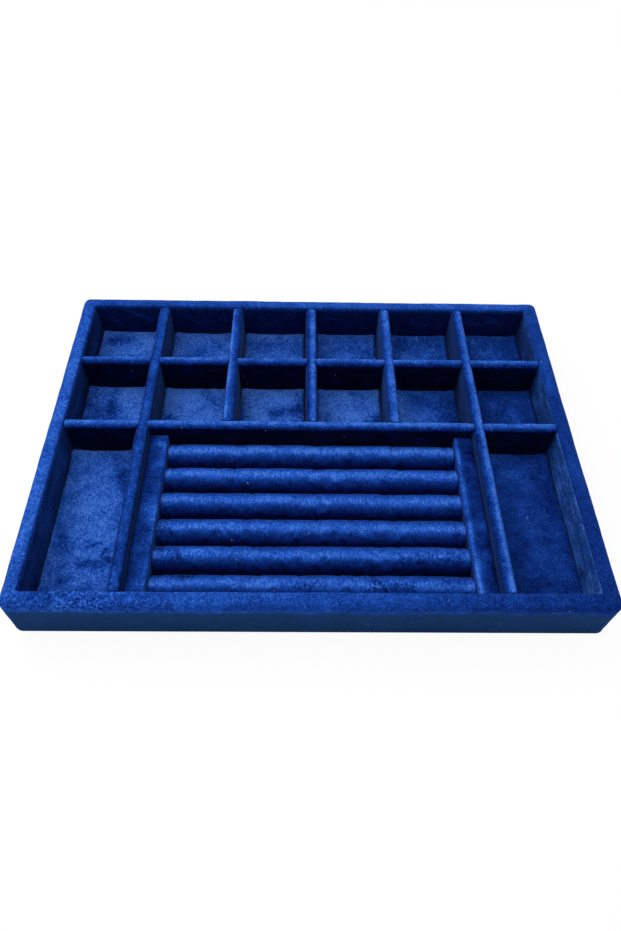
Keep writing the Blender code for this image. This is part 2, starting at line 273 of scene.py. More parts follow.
@dataclass(frozen=True)
class Velvet:
    """One cut of velvet, as its pile lies on a kind of piece."""

    name: str
    pile: float = 0.58
    tuft: float = 0.20
    crush: float = 0.05
    crush_size: float = 0.014
    streak: float = 0.05
    streak_size: float = 0.0060
    streak_run: Triple = (1.0, 1.0, 1.0)
    pile_run: Triple = (1.0, 1.0, 1.0)
    fray: float = 0.0
    outline: float = 0.0
    lint: float = 0.8
    sheen: float = 0.30
    relief: float = 0.00035
    offset: float = 0.0

    def material(self) -> bpy.types.Material:
        """The velvet's material, which reads the pile and its painted light and shade from the mesh.

        Returns:
            The new material.
        """
        graph = Graph(self.name)
        pile = graph.noise(PILE, detail=1.0, distortion=0.3, run=self.pile_run, offset=self.offset)
        tuft = graph.noise(TUFT, detail=2.0, distortion=0.4, run=self.pile_run, offset=self.offset)
        swirl = graph.noise(self.crush_size, detail=3.0, distortion=0.3, offset=self.offset)
        streak = graph.noise(self.streak_size, detail=2.0, run=self.streak_run, offset=self.offset)
        # From the mesh: the pile with its painted light and shade, the painted grey sheen and shade, and the
        # tangles
        nap_and_light, grey_sheen_and_shade, tangle = graph.attribute("nap_and_light"), graph.attribute("grey_sheen_and_shade"), graph.attribute("tangle")
        depth = graph.maths("MULTIPLY", graph.maths("MULTIPLY_ADD", nap_and_light, 1.16, 0.05),
                            graph.maths("MULTIPLY_ADD", grey_sheen_and_shade, -0.38, 1.0))
        grain = graph.total(graph.swing(pile, self.pile), graph.swing(tuft, self.tuft))
        knots = graph.noise(SNARL, detail=3.0, distortion=1.2, offset=self.offset)
        snarl = graph.swing(graph.window(knots, 0.35, 0.65), 1.0)
        crush = graph.swing(graph.window(swirl, 0.36, 0.64), self.crush)
        clouds = graph.total(crush, graph.swing(streak, self.streak))
        level = graph.total(nap_and_light, graph.maths("MULTIPLY", graph.total(grain, clouds), depth),
                            graph.maths("MULTIPLY", snarl, tangle))
        if self.fray:
            tips = graph.window(graph.noise(FEATHER, detail=1.0, offset=self.offset + 2.0), 0.58, 0.72)
            level = graph.total(level, graph.maths("MULTIPLY", graph.maths("MULTIPLY", tips, self.fray), nap_and_light))
        if self.outline:
            patch = graph.noise(PATCH, detail=2.0, distortion=0.8, run=(1.0, 0.45, 1.2),
                                offset=self.offset + 1.0)
            rim = graph.maths("ABSOLUTE", graph.maths("SUBTRACT", patch, 0.5))
            line = graph.maths("SUBTRACT", 1.0, graph.window(rim, 0.0, 0.030))
            level = graph.total(level, graph.maths("MULTIPLY", line, self.outline))
        loose = graph.noise(FEATHER, detail=2.0, run=(1.0, 1.0, 0.35), offset=self.offset + 4.0)
        feather = graph.swing(loose, 3.2)
        edge = graph.maths("MULTIPLY", grey_sheen_and_shade, graph.maths("SUBTRACT", 1.0, grey_sheen_and_shade))
        grey_sheen_and_shade = graph.maths("MULTIPLY_ADD", feather, edge, grey_sheen_and_shade)
        grey_sheen_and_shade.node.use_clamp = True
        # The painted light and shade pick the blue, and the painted grey sheen and shade turn it slate
        blue = graph.ramp(level, BLUES)
        colour = graph.mixed(grey_sheen_and_shade, blue, graph.mixed(level, *SLATE))
        if self.lint:
            hairs = graph.node("ShaderNodeTexVoronoi", Vector=graph.stretched((1.0, 0.6, 1.0), self.offset),
                               Scale=1 / LINT).outputs["Distance"]
            near = graph.maths("SUBTRACT", 1.0, graph.window(hairs, *HAIR))
            colour = graph.mixed(graph.maths("MULTIPLY", near, self.lint), colour, LINT_GREY)
        graph.surface(Base_Color=colour, Roughness=0.92, Specular_IOR_Level=0.0)
        graph.surface(Sheen_Weight=self.sheen, Sheen_Roughness=0.38, Sheen_Tint=(0.10, 0.27, 0.95, 1.0))
        graph.relief(graph.total(pile, tuft), self.relief, 0.55)
        return graph.material


@dataclass(frozen=True)
class Board:
    """Fibreboard or greyboard under the cloth."""

    name: str
    light: Triple
    dark: Triple
    fibre: float = 0.0009

    def material(self) -> bpy.types.Material:
        """A pressed board with fibres and specks in it.

        Returns:
            The new material.
        """
        graph = Graph(self.name)
        fibre = graph.noise(self.fibre, detail=3.0, run=(1.0, 0.35, 1.0))
        cloud = graph.noise(0.012, detail=3.0, offset=3.0)
        speck = graph.window(graph.noise(0.0016, detail=1.0, offset=7.0), 0.66, 0.74)
        level = graph.total(fibre, graph.swing(cloud, 0.35))
        colour = graph.mixed(graph.window(level, 0.3, 0.7), self.dark, self.light)
        graph.surface(Base_Color=graph.mixed(speck, colour, [part * 0.45 for part in self.dark]))
        graph.surface(Roughness=graph.maths("MULTIPLY_ADD", fibre, 0.2, 0.72), Specular_IOR_Level=0.25)
        graph.relief(fibre, 0.0002, 0.4)
        return graph.material


@dataclass(frozen=True)
class Foam:
    """Open-cell foam in the rolls."""

    name: str
    light: Triple
    dark: Triple
    cell: float = 0.0009

    def material(self) -> bpy.types.Material:
        """Pale foam with dark pores.

        Returns:
            The new material.
        """
        graph = Graph(self.name)
        cells = graph.node("ShaderNodeTexVoronoi", Vector=graph.place, Scale=1 / self.cell)
        pores = cells.outputs["Distance"]
        cloud = graph.noise(0.008, detail=2.0)
        colour = graph.mixed(graph.window(pores, 0.15, 0.6), self.dark, self.light)
        graph.surface(Base_Color=graph.mixed(graph.maths("MULTIPLY", cloud, 0.3), colour, self.dark))
        graph.surface(Roughness=graph.maths("MULTIPLY_ADD", cloud, 0.1, 0.88), Specular_IOR_Level=0.1)
        graph.relief(pores, 0.0004, 0.6)
        return graph.material


@dataclass(frozen=True)
class Felt:
    """Pressed felt on the underside."""

    name: str
    light: Triple
    dark: Triple

    def material(self) -> bpy.types.Material:
        """Dark felt with tangled fibres and a few pale hairs.

        Returns:
            The new material.
        """
        graph = Graph(self.name)
        tangle = graph.noise(0.0012, detail=4.0, distortion=2.5)
        hair = graph.window(graph.noise(0.0022, detail=1.0, distortion=4.0, offset=5.0), 0.60, 0.66)
        colour = graph.mixed(graph.window(tangle, 0.35, 0.65), self.dark, self.light)
        graph.surface(Base_Color=graph.mixed(graph.maths("MULTIPLY", hair, 0.25), colour, shade(0x3A4358)))
        graph.surface(Roughness=graph.maths("MULTIPLY_ADD", tangle, 0.1, 0.88), Specular_IOR_Level=0.1)
        graph.surface(Sheen_Weight=0.15, Sheen_Roughness=0.6)
        graph.relief(tangle, 0.0004, 0.6)
        return graph.material


@dataclass(frozen=True)
class FacingLight:
    """Painted light: how bright a velvet piece is painted on faces that point each way, from 0 to 1, lit
    towards the lamps and shaded away from them.
    """

    up: float
    front: float
    back: float
    left: float
    right: float
    down: float = 0.10
    slope: Triple = (0.0, 0.0, 0.0)

    def at(self, points: np.ndarray, normals: np.ndarray) -> np.ndarray:
        """The painted light at points of a piece.

        Args:
            points: The points, one in each row.
            normals: The surface's directions there.

        Returns:
            One number for each point.
        """
        shares = normals ** 2
        sides = ((self.right, self.left), (self.back, self.front), (self.up, self.down))
        level = points @ np.array(self.slope)
        for axis, (ahead, behind) in enumerate(sides):
            level += shares[:, axis] * np.where(normals[:, axis] > 0, ahead, behind)
        return level


@dataclass(frozen=True)
class Smudge:
    """A stroke where the pile was pressed the other way.

    Its ends are in shares of a piece's half size, and its width is a length.
    """

    start: tuple[float, float]
    end: tuple[float, float]
    width: float
    change: float

    def at(self, places: np.ndarray, half: np.ndarray) -> np.ndarray:
        """How much the stroke changes the pile at places on a piece.

        Args:
            places: Places measured from the piece's middle, one in each row.
            half: The piece's half size along the same two axes.

        Returns:
            One number for each place.
        """
        start, end = np.array(self.start) * half, np.array(self.end) * half
        run = end - start
        along = np.clip((places - start) @ run / max(run @ run, 1e-12), 0.0, 1.0)
        away = np.linalg.norm(places - start - along[:, None] * run, axis=1)
        return self.change * np.exp(-((away / self.width) ** 2))


def strokes(*rows: tuple[float, float, float, float, float, float]) -> list[Smudge]:
    """Strokes from rows of their start, end, width and change."""
    return [Smudge(row[:2], row[2:4], *row[4:]) for row in rows]


def smudged(points: np.ndarray, low: Vector, high: Vector, axes: tuple[int, int],
            smudges: Iterable[Smudge]) -> np.ndarray:
    """How much all strokes together change the pile at points of a piece.

    Args:
        points: The points, one in each row.
        low: The piece's lowest corner.
        high: Its highest corner.
        axes: The two axes that the strokes are drawn on.
        smudges: The strokes.

    Returns:
        One number for each point.
    """
    chosen = list(axes)
    middle, half = np.array((low + high) / 2)[chosen], np.array((high - low) / 2)[chosen]
    ragged = Wave(0.006, 0.0022, 5.0).at(points), Wave(0.006, 0.0022, 9.0).at(points)
    places = points[:, chosen] - middle + np.column_stack(ragged)
    return sum((smudge.at(places, half) for smudge in smudges), np.zeros(len(points)))


def eased(value: np.ndarray, low: float, high: float) -> np.ndarray:
    """Numbers that rise smoothly from 0 to 1 between two limits.

    Args:
        value: The numbers.
        low: Where the rise starts.
        high: Where it ends, which may lie below its start.

    Returns:
        One number for each.
    """
    share = np.clip((value - low) / (high - low), 0.0, 1.0)
    return share * share * (3 - 2 * share)


@dataclass(frozen=True)
class Wave:
    """One size of unevenness in a soft surface."""

    size: float
    height: float
    seed: float = 0.0
    run: Triple = (1.0, 1.0, 1.0)

    def at(self, points: np.ndarray) -> np.ndarray:
        """How far the surface stands out at points of a piece.

        Args:
            points: The points, one in each row.

        Returns:
            One number for each point.
        """
        places = points * (np.array(self.run) / self.size) + self.seed * 7.31
        return self.height * np.array([noise.noise(Vector(place)) for place in places])


def grid_faces(rows: int, columns: int, closed_rows: bool, closed_columns: bool) -> list[Face]:
    """Faces between the points of a grid.

    Args:
        rows: How many rows of points there are.
        columns: How many points are in a row.
        closed_rows: Whether the last row joins the first.
        closed_columns: Whether each row is a ring.

    Returns:
        The faces, row by row.
    """
    faces = []
    for i in range(rows if closed_rows else rows - 1):
        for j in range(columns if closed_columns else columns - 1):
            above, beside = (i + 1) % rows, (j + 1) % columns
            near, far = i * columns, above * columns
            faces.append((near + j, near + beside, far + beside, far + j))
    return faces


def new_piece(name: str, points: np.ndarray, faces: Sequence[Face],
              material: bpy.types.Material) -> bpy.types.Object:
    """Make an object from points and faces.

    Args:
        name: The piece's name.
        points: Its points, one in each row.
        faces: Its faces.
        material: Its finish.

    Returns:
        The new object, in the scene.
    """
    mesh = bpy.data.meshes.new(name)
    mesh.from_pydata(points.tolist(), [], faces)
    mesh.materials.append(material)
    mesh.shade_smooth()
    piece = bpy.data.objects.new(name, mesh)
    bpy.context.scene.collection.objects.link(piece)
    return piece


def read_points(piece: bpy.types.Object, what: str = "co") -> np.ndarray:
    """A mesh's points, or their normals.

    Args:
        piece: The piece.
        what: co for the points and normal for the normals.

    Returns:
        One row for each point.
    """
    values = np.zeros(len(piece.data.vertices) * 3, np.float32)
    piece.data.vertices.foreach_get(what, values)
    return values.reshape(-1, 3).astype(float)


def write_points(piece: bpy.types.Object, points: np.ndarray) -> None:
    """Move a mesh's points to new places."""
    piece.data.vertices.foreach_set("co", points.astype(np.float32).ravel())
    piece.data.update()


def ruffle(piece: bpy.types.Object, waves: Iterable[Wave], share: np.ndarray | float = 1.0) -> None:
    """Push a surface in and out along its normals.

    Args:
        piece: The piece.
        waves: The sizes of unevenness.
        share: How much of it each point gets.
    """
    points = read_points(piece)
    height = sum(wave.at(points) for wave in waves) * share
    write_points(piece, points + read_points(piece, "normal") * height[:, None])


def settle(piece: bpy.types.Object) -> None:
    """Apply a piece's modifiers to its mesh."""
    graph = bpy.context.evaluated_depsgraph_get()
    mesh = bpy.data.meshes.new_from_object(piece.evaluated_get(graph))
    piece.modifiers.clear()
    old, piece.data = piece.data, mesh
    bpy.data.meshes.remove(old)


def thicken(piece: bpy.types.Object, thickness: float) -> None:
    """Give a sheet its thickness, inwards."""
    modifier = piece.modifiers.new("thickness", "SOLIDIFY")
    modifier.thickness = thickness
    modifier.offset = -1.0
    modifier.use_even_offset = True
    settle(piece)


def store(piece: bpy.types.Object, name: str, values: np.ndarray) -> None:
    """Keep one number for each point on a mesh."""
    attribute = piece.data.attributes.new(name, "FLOAT", "POINT")
    attribute.data.foreach_set("value", np.clip(values, 0.0, 1.2).astype(np.float32))


def store_pile_and_light(piece: bpy.types.Object, level: np.ndarray, grey_sheen_and_shade: np.ndarray | float = 0.0,
          tangle: np.ndarray | float = 0.0) -> None:
    """Store the pile of a velvet piece with its painted light and shade, which its material reads.

    Args:
        piece: The piece, in its final shape.
        level: How bright the piece is painted at each point, with its painted light and shade.
        grey_sheen_and_shade: How much painted grey sheen and shade it gets there.
        tangle: How tangled it is there.
    """
    none = np.zeros(len(level))
    # The painted light and shade, then the painted grey sheen and shade
    store(piece, "nap_and_light", level)
    store(piece, "grey_sheen_and_shade", none + grey_sheen_and_shade)
    store(piece, "tangle", none + tangle)


def paint_facing_light(piece: bpy.types.Object, facing_light: FacingLight, change: np.ndarray | float = 0.0, grey_sheen_and_shade: np.ndarray | float = 0.0,
         tangle: np.ndarray | float = 0.0) -> None:
    """Paint light and shade on a velvet piece by the way that its faces point.

    Args:
        piece: The piece, in its final shape.
        facing_light: The painted light by the way that a face points.
        change: What is added to that at each point.
        grey_sheen_and_shade: How much painted grey sheen and shade each point gets.
        tangle: How tangled it is there.
    """
    store_pile_and_light(piece, facing_light.at(read_points(piece), read_points(piece, "normal")) + change, grey_sheen_and_shade, tangle)


@dataclass(frozen=True)
class Puff:
    """Cloth pushed out from inside by the padding, a little slack, as it lies after sewing."""

    pressure: float = 4.0
    slack: float = 0.02
    reach: float = 0.0008
    frames: int = 20
    enlarge: float = 10.0

    def swell(self, piece: bpy.types.Object, held: np.ndarray) -> None:
        """Let the cloth settle, with no point far from where it started.

        Args:
            piece: The piece.
            held: How firmly each point is held, from 0 to 1.
        """
        start = read_points(piece)
        write_points(piece, start * self.enlarge)
        group = piece.vertex_groups.new(name="held")
        for share in np.unique(np.round(held, 2)):
            group.add(np.flatnonzero(np.round(held, 2) == share).tolist(), float(share), "REPLACE")
        modifier = piece.modifiers.new("cloth", "CLOTH")
        modifier.settings.effector_weights.gravity = 0.0
        modifier.settings.use_pressure = True
        modifier.settings.uniform_pressure_force = self.pressure
        modifier.settings.shrink_min = -self.slack
        modifier.settings.vertex_group_mass = "held"
        for frame_number in range(1, self.frames + 1):
            bpy.context.scene.frame_set(frame_number)
        settle(piece)
        bpy.context.scene.frame_set(1)
        piece.vertex_groups.clear()
        move = read_points(piece) / self.enlarge - start
        length = np.maximum(np.linalg.norm(move, axis=1), 1e-9)
        write_points(piece, start + move * (np.minimum(length, self.reach) / length)[:, None])


def refine(piece: bpy.types.Object) -> None:
    """Halve the faces of a piece and smooth it."""
    modifier = piece.modifiers.new("refine", "SUBSURF")
    modifier.levels = 1
    modifier.render_levels = 1
    settle(piece)


def seat(piece: bpy.types.Object, body: str, slot: str, *nodes: str) -> bpy.types.Object:
    """Put a piece on its body in the place of solids.

    Args:
        piece: The piece.
        body: The body that it moves with.
        slot: Not used.
        nodes: The solids that it stands for.

    Returns:
        The piece.
    """
    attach(piece, body)
    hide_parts(*nodes)
    return piece


def stations(length: float, step: float, edge: float, cells: int) -> np.ndarray:
    """Places along a side, closer together near both ends.

    Args:
        length: The side's length.
        step: The distance between places in the middle.
        edge: The length at each end where places are closer.
        cells: How many steps there are in that length.

    Returns:
        The places, in order.
    """
    near = np.linspace(0.0, edge, cells + 1)
    count = max(1, round((length - 2 * edge) / step))
    middle = np.linspace(edge, length - edge, count + 1)
    return np.concatenate([near[:-1], middle, length - near[-2::-1]])


def skin_faces(counts: Sequence[int], open_below: bool) -> tuple[list[tuple[int, int, int]], list[Face]]:
    """The skin of a box that is cut into cells.

    Args:
        counts: How many places there are along each axis.
        open_below: Whether the underside is left out.

    Returns:
        Each point's three indices, and the faces.
    """
    index: dict[tuple[int, int, int], int] = {}
    faces = []
    ends = [count - 1 for count in counts]
    for axis in range(3):
        first, second = (other for other in range(3) if other != axis)
        for side in (0, 1):
            if open_below and axis == 2 and side == 0:
                continue
            for i in range(ends[first]):
                for j in range(ends[second]):
                    face = []
                    for more_i, more_j in ((0, 0), (1, 0), (1, 1), (0, 1)):
                        key = [0, 0, 0]
                        key[axis], key[first], key[second] = side * ends[axis], i + more_i, j + more_j
                        face.append(index.setdefault((key[0], key[1], key[2]), len(index)))
                    faces.append(tuple(face[::-1] if (side == 0) != (axis == 1) else face))
    return list(index), faces


@dataclass
class SoftBlock:
    """A cloth-covered block with rounded corners and edges."""

    low: Vector
    high: Vector
    step: float = 0.0016
    corner: float = 0.0030
    edge: float = 0.0013
    foot: float = 0.0004
    crown: float = 0.0
    draw_in: float = 0.0
    open_below: bool = False

    def rounded(self, points: np.ndarray) -> np.ndarray:
        """Round the box's corners in plan, then its edges at the top and at the foot.

        Args:
            points: Points on the skin of the box.

        Returns:
            The points on the rounded block.
        """
        middle = (self.low + self.high) / 2
        half = (self.high - self.low) / 2
        core = np.array([half.x - self.corner, half.y - self.corner])
        flat = points[:, :2] - np.array(middle.xy)
        inner = np.clip(flat, -core, core)
        offset = flat - inner
        square = np.abs(offset).max(axis=1)
        length = np.maximum(np.linalg.norm(offset, axis=1), 1e-9)
        outward = offset / length[:, None]
        level = points[:, 2].copy()
        reach = square.copy()
        for radius, sign, turn in ((self.edge, 1, self.high.z), (self.foot, -1, self.low.z)):
            across = reach - (self.corner - radius)
            along = sign * (level - turn) + radius
            zone = (across > 0) & (along > 0)
            ratio = np.maximum(across, along) / np.maximum(np.hypot(across, along), 1e-9)
            reach = np.where(zone, reach + across * (ratio - 1), reach)
            level = np.where(zone, level + sign * along * (ratio - 1), level)
        place = inner + outward * reach[:, None]
        share = place / np.array([half.x, half.y])
        dome = np.clip(1 - share ** 4, 0.0, 1.0)
        rise = np.clip((level - self.low.z) / (self.high.z - self.low.z), 0.0, 1.0)
        level = level + self.crown * dome[:, 0] * dome[:, 1] * rise
        pull = self.draw_in * np.clip(reach / self.corner, 0.0, 1.0)
        place[:, 0] -= np.sign(place[:, 0]) * pull * dome[:, 1] * np.abs(outward[:, 0])
        place[:, 1] -= np.sign(place[:, 1]) * pull * dome[:, 0] * np.abs(outward[:, 1])
        return np.column_stack([place + np.array(middle.xy), level])

    def piece(self, name: str, material: bpy.types.Material) -> bpy.types.Object:
        """Make the block.

        Args:
            name: The piece's name.
            material: Its finish.

        Returns:
            The new piece.
        """
        size = self.high - self.low
        axes = [stations(size.x, self.step, self.corner, 4), stations(size.y, self.step, self.corner, 4)]
        axes.append(stations(size.z, self.step, min(self.edge, size.z / 3), 3))
        keys, faces = skin_faces([len(axis) for axis in axes], self.open_below)
        box = [[axes[k][key[k]] + self.low[k] for k in range(3)] for key in keys]
        return new_piece(name, self.rounded(np.array(box)), faces, material)


def arc(middle: tuple[float, float], radius: float, start: float, steps: int) -> list[tuple[float, float]]:
    """Points of a quarter circle, clockwise from an angle.

    Args:
        middle: Its middle.
        radius: Its radius.
        start: The angle where it starts.
        steps: How many steps it has.

    Returns:
        The points.
    """
    angles = [start - math.pi / 2 * step / steps for step in range(steps + 1)]
    return [(middle[0] + radius * math.cos(a), middle[1] + radius * math.sin(a)) for a in angles]


def run(start: tuple[float, float], end: tuple[float, float], step: float) -> list[tuple[float, float]]:
    """Points between two others, at about a step from each other, without the two."""
    count = max(1, round(math.dist(start, end) / step))
    shares = [i / count for i in range(1, count)]
    return [(start[0] + (end[0] - start[0]) * s, start[1] + (end[1] - start[1]) * s) for s in shares]


@dataclass
class TrayShell:
    """The tray's boards, the velvet wrapped over them, its linings and the felt underneath."""

    corner_radius: float = 0.0055
    square_corner: float = 0.0008
    rim_outer_radius: float = 0.0044
    rim_inner_radius: float = 0.0021
    rim_bead: float = 0.0027
    rim_dome: float = 0.0004
    foot_radius: float = 0.0008
    turn_in: float = 0.0140
    turn_under: float = 0.0160
    ring_step: float = 0.0018
    section_step: float = 0.0014
    corner_steps: int = 8
    # How far below the top the painted light round the rim reaches
    lit_depth: float = 0.0078
    bulge: float = 0.0007
    bulge_start: float = 0.15
    bulge_end: float = 0.17

    # The outside's edge and the rim's middle, as shares of the rim's width
    outer_share: tuple[float, float] = (0.45, 0.75)
    turn_share: float = 0.6
    # How the painted light of the rim's four sides blends at the corners, and how far across the rim it grows
    # lighter or darker
    rim_blend: float = 0.0030
    rim_half_tone: float = 0.01

    # The painted shade on the outside's lower part: its brightness at a level, and how much it rises with
    # height
    shade_level: float = 0.44
    shade_height: float = 0.016
    shade_rise: float = 8.0
    # The soft edge between the painted light round the rim and the painted shade below it, then a painted
    # highlight line just above that edge: its brightness, how far above the edge, and its width
    lit_soft: float = 0.0030
    line_rise: float = 0.22
    line_above: float = 0.0008
    line_width: float = 0.0010

    low: Vector = field(init=False)
    high: Vector = field(init=False)
    rim: float = field(init=False)
    tuck: float = field(init=False)

    def __post_init__(self) -> None:
        """Take the wrap's box, the rim's width and the place of the tucked edge from the frame."""
        self.low, self.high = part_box("outer_velvet_wrap")
        lining_low, lining_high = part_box("left_lining")
        self.rim = lining_high.x - self.low.x
        self.tuck = lining_low.x - self.low.x - GLUE

    def ring(self, inset: float, level: float) -> list[Triple]:
        """Points round the tray at a distance inside its outer face.

        Args:
            inset: The distance.
            level: The points' height.

        Returns:
            The points, counterclockwise from the right side.
        """
        half_x, half_y = self.high.x - inset, self.high.y - inset
        radius = max(self.corner_radius - inset, self.square_corner)
        runs = [round(2 * half / self.ring_step) for half in (self.high.x, self.high.y)]
        points = []
        for corner in range(4):
            side_x = 1 if corner in (0, 3) else -1
            side_y = 1 if corner in (0, 1) else -1
            middle = (side_x * (half_x - radius), side_y * (half_y - radius))
            for step in range(self.corner_steps + 1):
                angle = math.pi / 2 * (corner + step / self.corner_steps)
                points.append((middle[0] + radius * math.cos(angle),
                               middle[1] + radius * math.sin(angle), level))
            start = points[-1]
            along = corner % 2
            length = 2 * ((half_x, half_y)[along] - radius)
            direction = [(-1, 0), (0, -1), (1, 0), (0, 1)][corner]
            for step in range(1, runs[along]):
                way = length * step / runs[along]
                points.append((start[0] + direction[0] * way, start[1] + direction[1] * way, level))
        return points

    def crown(self, start: tuple[float, float], end: tuple[float, float]) -> list[tuple[float, float]]:
        """The low dome of the rim between its two rounded edges.

        Args:
            start: Where the outer edge ends.
            end: Where the inner edge starts.

        Returns:
            Points between the two.
        """
        flat = run(start, end, self.section_step / 2)
        shares = [(x - start[0]) / (end[0] - start[0]) for x, _ in flat]
        return [(x, z + self.rim_dome * math.sin(math.pi * share)) for (x, z), share in zip(flat, shares)]

    def section(self) -> tuple[list[tuple[float, float]], list[tuple[float, float]]]:
        """The wrap's section, as insets and levels.

        Returns:
            Its outer side, from under the base to the rim's inner edge, and its hidden side.
        """
        top, base = self.high.z, self.low.z
        inner = (self.rim - self.rim_inner_radius, top - self.rim_inner_radius)
        outer = (self.rim_outer_radius, top - self.rim_outer_radius)
        foot = (self.foot_radius, base + self.foot_radius)
        outside = [(self.turn_under, base)]
        outside += run(outside[-1], (foot[0], base), self.section_step)
        outside += arc(foot, self.foot_radius, math.pi * 3 / 2, 3)
        outside += run(outside[-1], (0.0, outer[1]), self.section_step)
        outside += arc(outer, self.rim_outer_radius, math.pi, 7)
        outside += self.crown(outside[-1], (inner[0], top))
        outside += arc(inner, self.rim_inner_radius, math.pi / 2, 5)
        tuck = self.tuck
        hidden = [(self.rim, top - self.rim_bead), (tuck, top - self.rim_bead), (tuck, top - self.turn_in)]
        hidden += [(tuck - VELVET, top - self.turn_in), (tuck - VELVET, top - VELVET)]
        hidden += arc(outer, self.rim_outer_radius - VELVET, math.pi, 4)[::-1]
        hidden += [(VELVET, base + VELVET), (self.turn_under, base + VELVET)]
        return outside, hidden

    def rim_light(self, points: np.ndarray) -> np.ndarray:
        """Painted light round the rim: brightest on the left, towards the lamp, darkest on the right.

        Args:
            points: The points, one in each row.

        Returns:
            One number for each point.
        """
        span_x, span_y = self.high.x - self.low.x, self.high.y - self.low.y
        left, front = points[:, 0] - self.low.x, points[:, 1] - self.low.y
        away = np.column_stack([left, span_x - left, front, span_y - front])
        inwards = (left - self.rim / 2).clip(-self.rim_half_tone, self.rim_half_tone)
        outwards = (span_x - left - self.rim / 2).clip(-self.rim_half_tone, self.rim_half_tone)
        levels = np.column_stack([
            np.interp(front / span_y, (0.0, 0.2, 1.0), (0.72, 0.74, 0.68)) + 9.0 * inwards,
            np.interp(front / span_y, (0.0, 0.5, 1.0), (0.42, 0.46, 0.52)) - 6.0 * outwards,
            np.interp(left / span_x, (0.0, 0.3, 0.6, 0.85, 1.0), (0.68, 0.66, 0.60, 0.46, 0.42)),
            np.interp(left / span_x, (0.0, 0.5, 1.0), (0.56, 0.68, 0.72)),
        ])
        weights = np.exp(-away / self.rim_blend)
        return (levels * weights).sum(axis=1) / np.maximum(weights.sum(axis=1), 1e-12)

    def wrap(self) -> bpy.types.Object:
        """The velvet from under the base, up the outside, over the rim and down behind the linings.

        Returns:
            The wrap.
        """
        outside, hidden = self.section()
        rings = np.array([self.ring(inset, level) for inset, level in outside + hidden])
        rows, columns = rings.shape[:2]
        finish = Velvet("wrap_velvet", pile=0.50, streak_run=(1.0, 1.0, 0.5), crush=0.06)
        faces = grid_faces(rows, columns, True, True)
        piece = new_piece("wrap", rings.reshape(-1, 3), faces, finish.material())
        share = np.repeat([1.0] * len(outside) + [0.0] * len(hidden), columns)
        share *= eased(rings.reshape(-1, 3)[:, 2], self.low.z, self.low.z + 0.0030)
        ruffle(piece, [Wave(0.045, 0.00035, 1), Wave(0.013, 0.00022, 3), Wave(0.005, 0.00010, 2)], share)
        points, normals = read_points(piece), read_points(piece, "normal")
        inset = np.repeat([inset for inset, _ in outside + hidden], columns)
        outer = 1 - eased(inset, *(part * self.rim for part in self.outer_share))
        back = eased(points[:, 1], 0.5 * self.low.y, 0.9 * self.high.y)
        side = np.sign(points[:, 0]) * eased(np.abs(points[:, 0]), self.bulge_start, self.bulge_end)
        points[:, 0] += self.bulge * share * outer * back * side
        write_points(piece, points)
        self.paint_pile_and_light(piece, points, normals, inset, outer)
        seat(piece, "tray", "wrap_velvet", "outer_velvet_wrap")
        return piece

    def paint_pile_and_light(self, piece: bpy.types.Object, points: np.ndarray, normals: np.ndarray, inset: np.ndarray,
            outer: np.ndarray) -> None:
        """Paint the wrap's pile and light: painted light round the rim, with a ragged edge to the painted
        shade on the outside below it.

        Args:
            piece: The wrap.
            points: Its points.
            normals: The surface's directions there.
            inset: How far inside the tray's outer face each point was made.
            outer: How much each point belongs to the outside.
        """
        # Painted light round the rim, and painted light and shade on its rounded edges by the way that they
        # face
        level = self.rim_light(points)
        inner_turn = FacingLight(0.0, -0.27, 0.06, 0.04, -0.40, -0.3).at(points, normals)
        outer_turn = FacingLight(0.0, -0.06, -0.10, -0.06, -0.06, -0.2).at(points, normals)
        level += np.where(inset > self.turn_share * self.rim, inner_turn, outer_turn)
        level += smudged(points, self.low, self.high, (0, 1), self.rim_smudges())
        # Below a ragged edge the outside is painted grey and shaded, lighter upwards
        edge = self.high.z - self.lit_depth
        edge = edge + Wave(0.026, 0.0024, 6).at(points) + Wave(0.007, 0.0012, 7).at(points)
        grey_sheen_and_shade = (1 - eased(points[:, 2], edge - self.lit_soft, edge + self.lit_soft)) * outer
        lower = self.shade_level + self.shade_rise * (points[:, 2] - self.low.z - self.shade_height)
        lower += Wave(0.020, 0.10, 8, (1, 1, 0.5)).at(points)
        level = level * (1 - grey_sheen_and_shade) + grey_sheen_and_shade * lower
        # A broken painted highlight line just above that edge
        broken = 0.5 + Wave(0.006, 1.0, 9, (1.0, 1.0, 0.3)).at(points).clip(-0.5, 0.5)
        line = np.exp(-(((points[:, 2] - edge - self.line_above) / self.line_width) ** 2))
        level += self.line_rise * outer * broken * line
        tangle = self.tangled(points) * (1 - grey_sheen_and_shade) + 0.05 * grey_sheen_and_shade
        store_pile_and_light(piece, level, grey_sheen_and_shade, tangle)

    def tangled(self, points: np.ndarray) -> np.ndarray:
        """How tangled the rim's pile is: most at the left of the front rim.

        Args:
            points: The points, one in each row.

        Returns:
            One number for each point.
        """
        front = 1 - eased(points[:, 1], self.low.y + self.rim, self.low.y + 2 * self.rim)
        worn = np.exp(-(((points[:, 0] - 0.76 * self.low.x) / 0.034) ** 2))
        side = np.where(points[:, 0] < 0, 0.09, 0.06) * (1 - front)
        return side + front * (0.09 + 0.14 * worn)

    def rim_smudges(self) -> list[Smudge]:
        """Strokes on the rim: dark specks at the front left, and lighter wipes."""
        return strokes(
            (-0.92, -0.945, -0.84, -0.955, 0.0026, -0.16), (-0.80, -0.94, -0.76, -0.95, 0.0020, -0.10),
            (-0.60, -0.945, -0.42, -0.94, 0.0022, -0.08), (0.10, -0.96, 0.40, -0.955, 0.0030, 0.05),
            (0.965, 0.30, 0.970, 0.62, 0.0026, 0.08), (0.970, -0.40, 0.965, -0.10, 0.0026, 0.06),
            (-0.970, 0.10, -0.965, 0.50, 0.0026, 0.06))

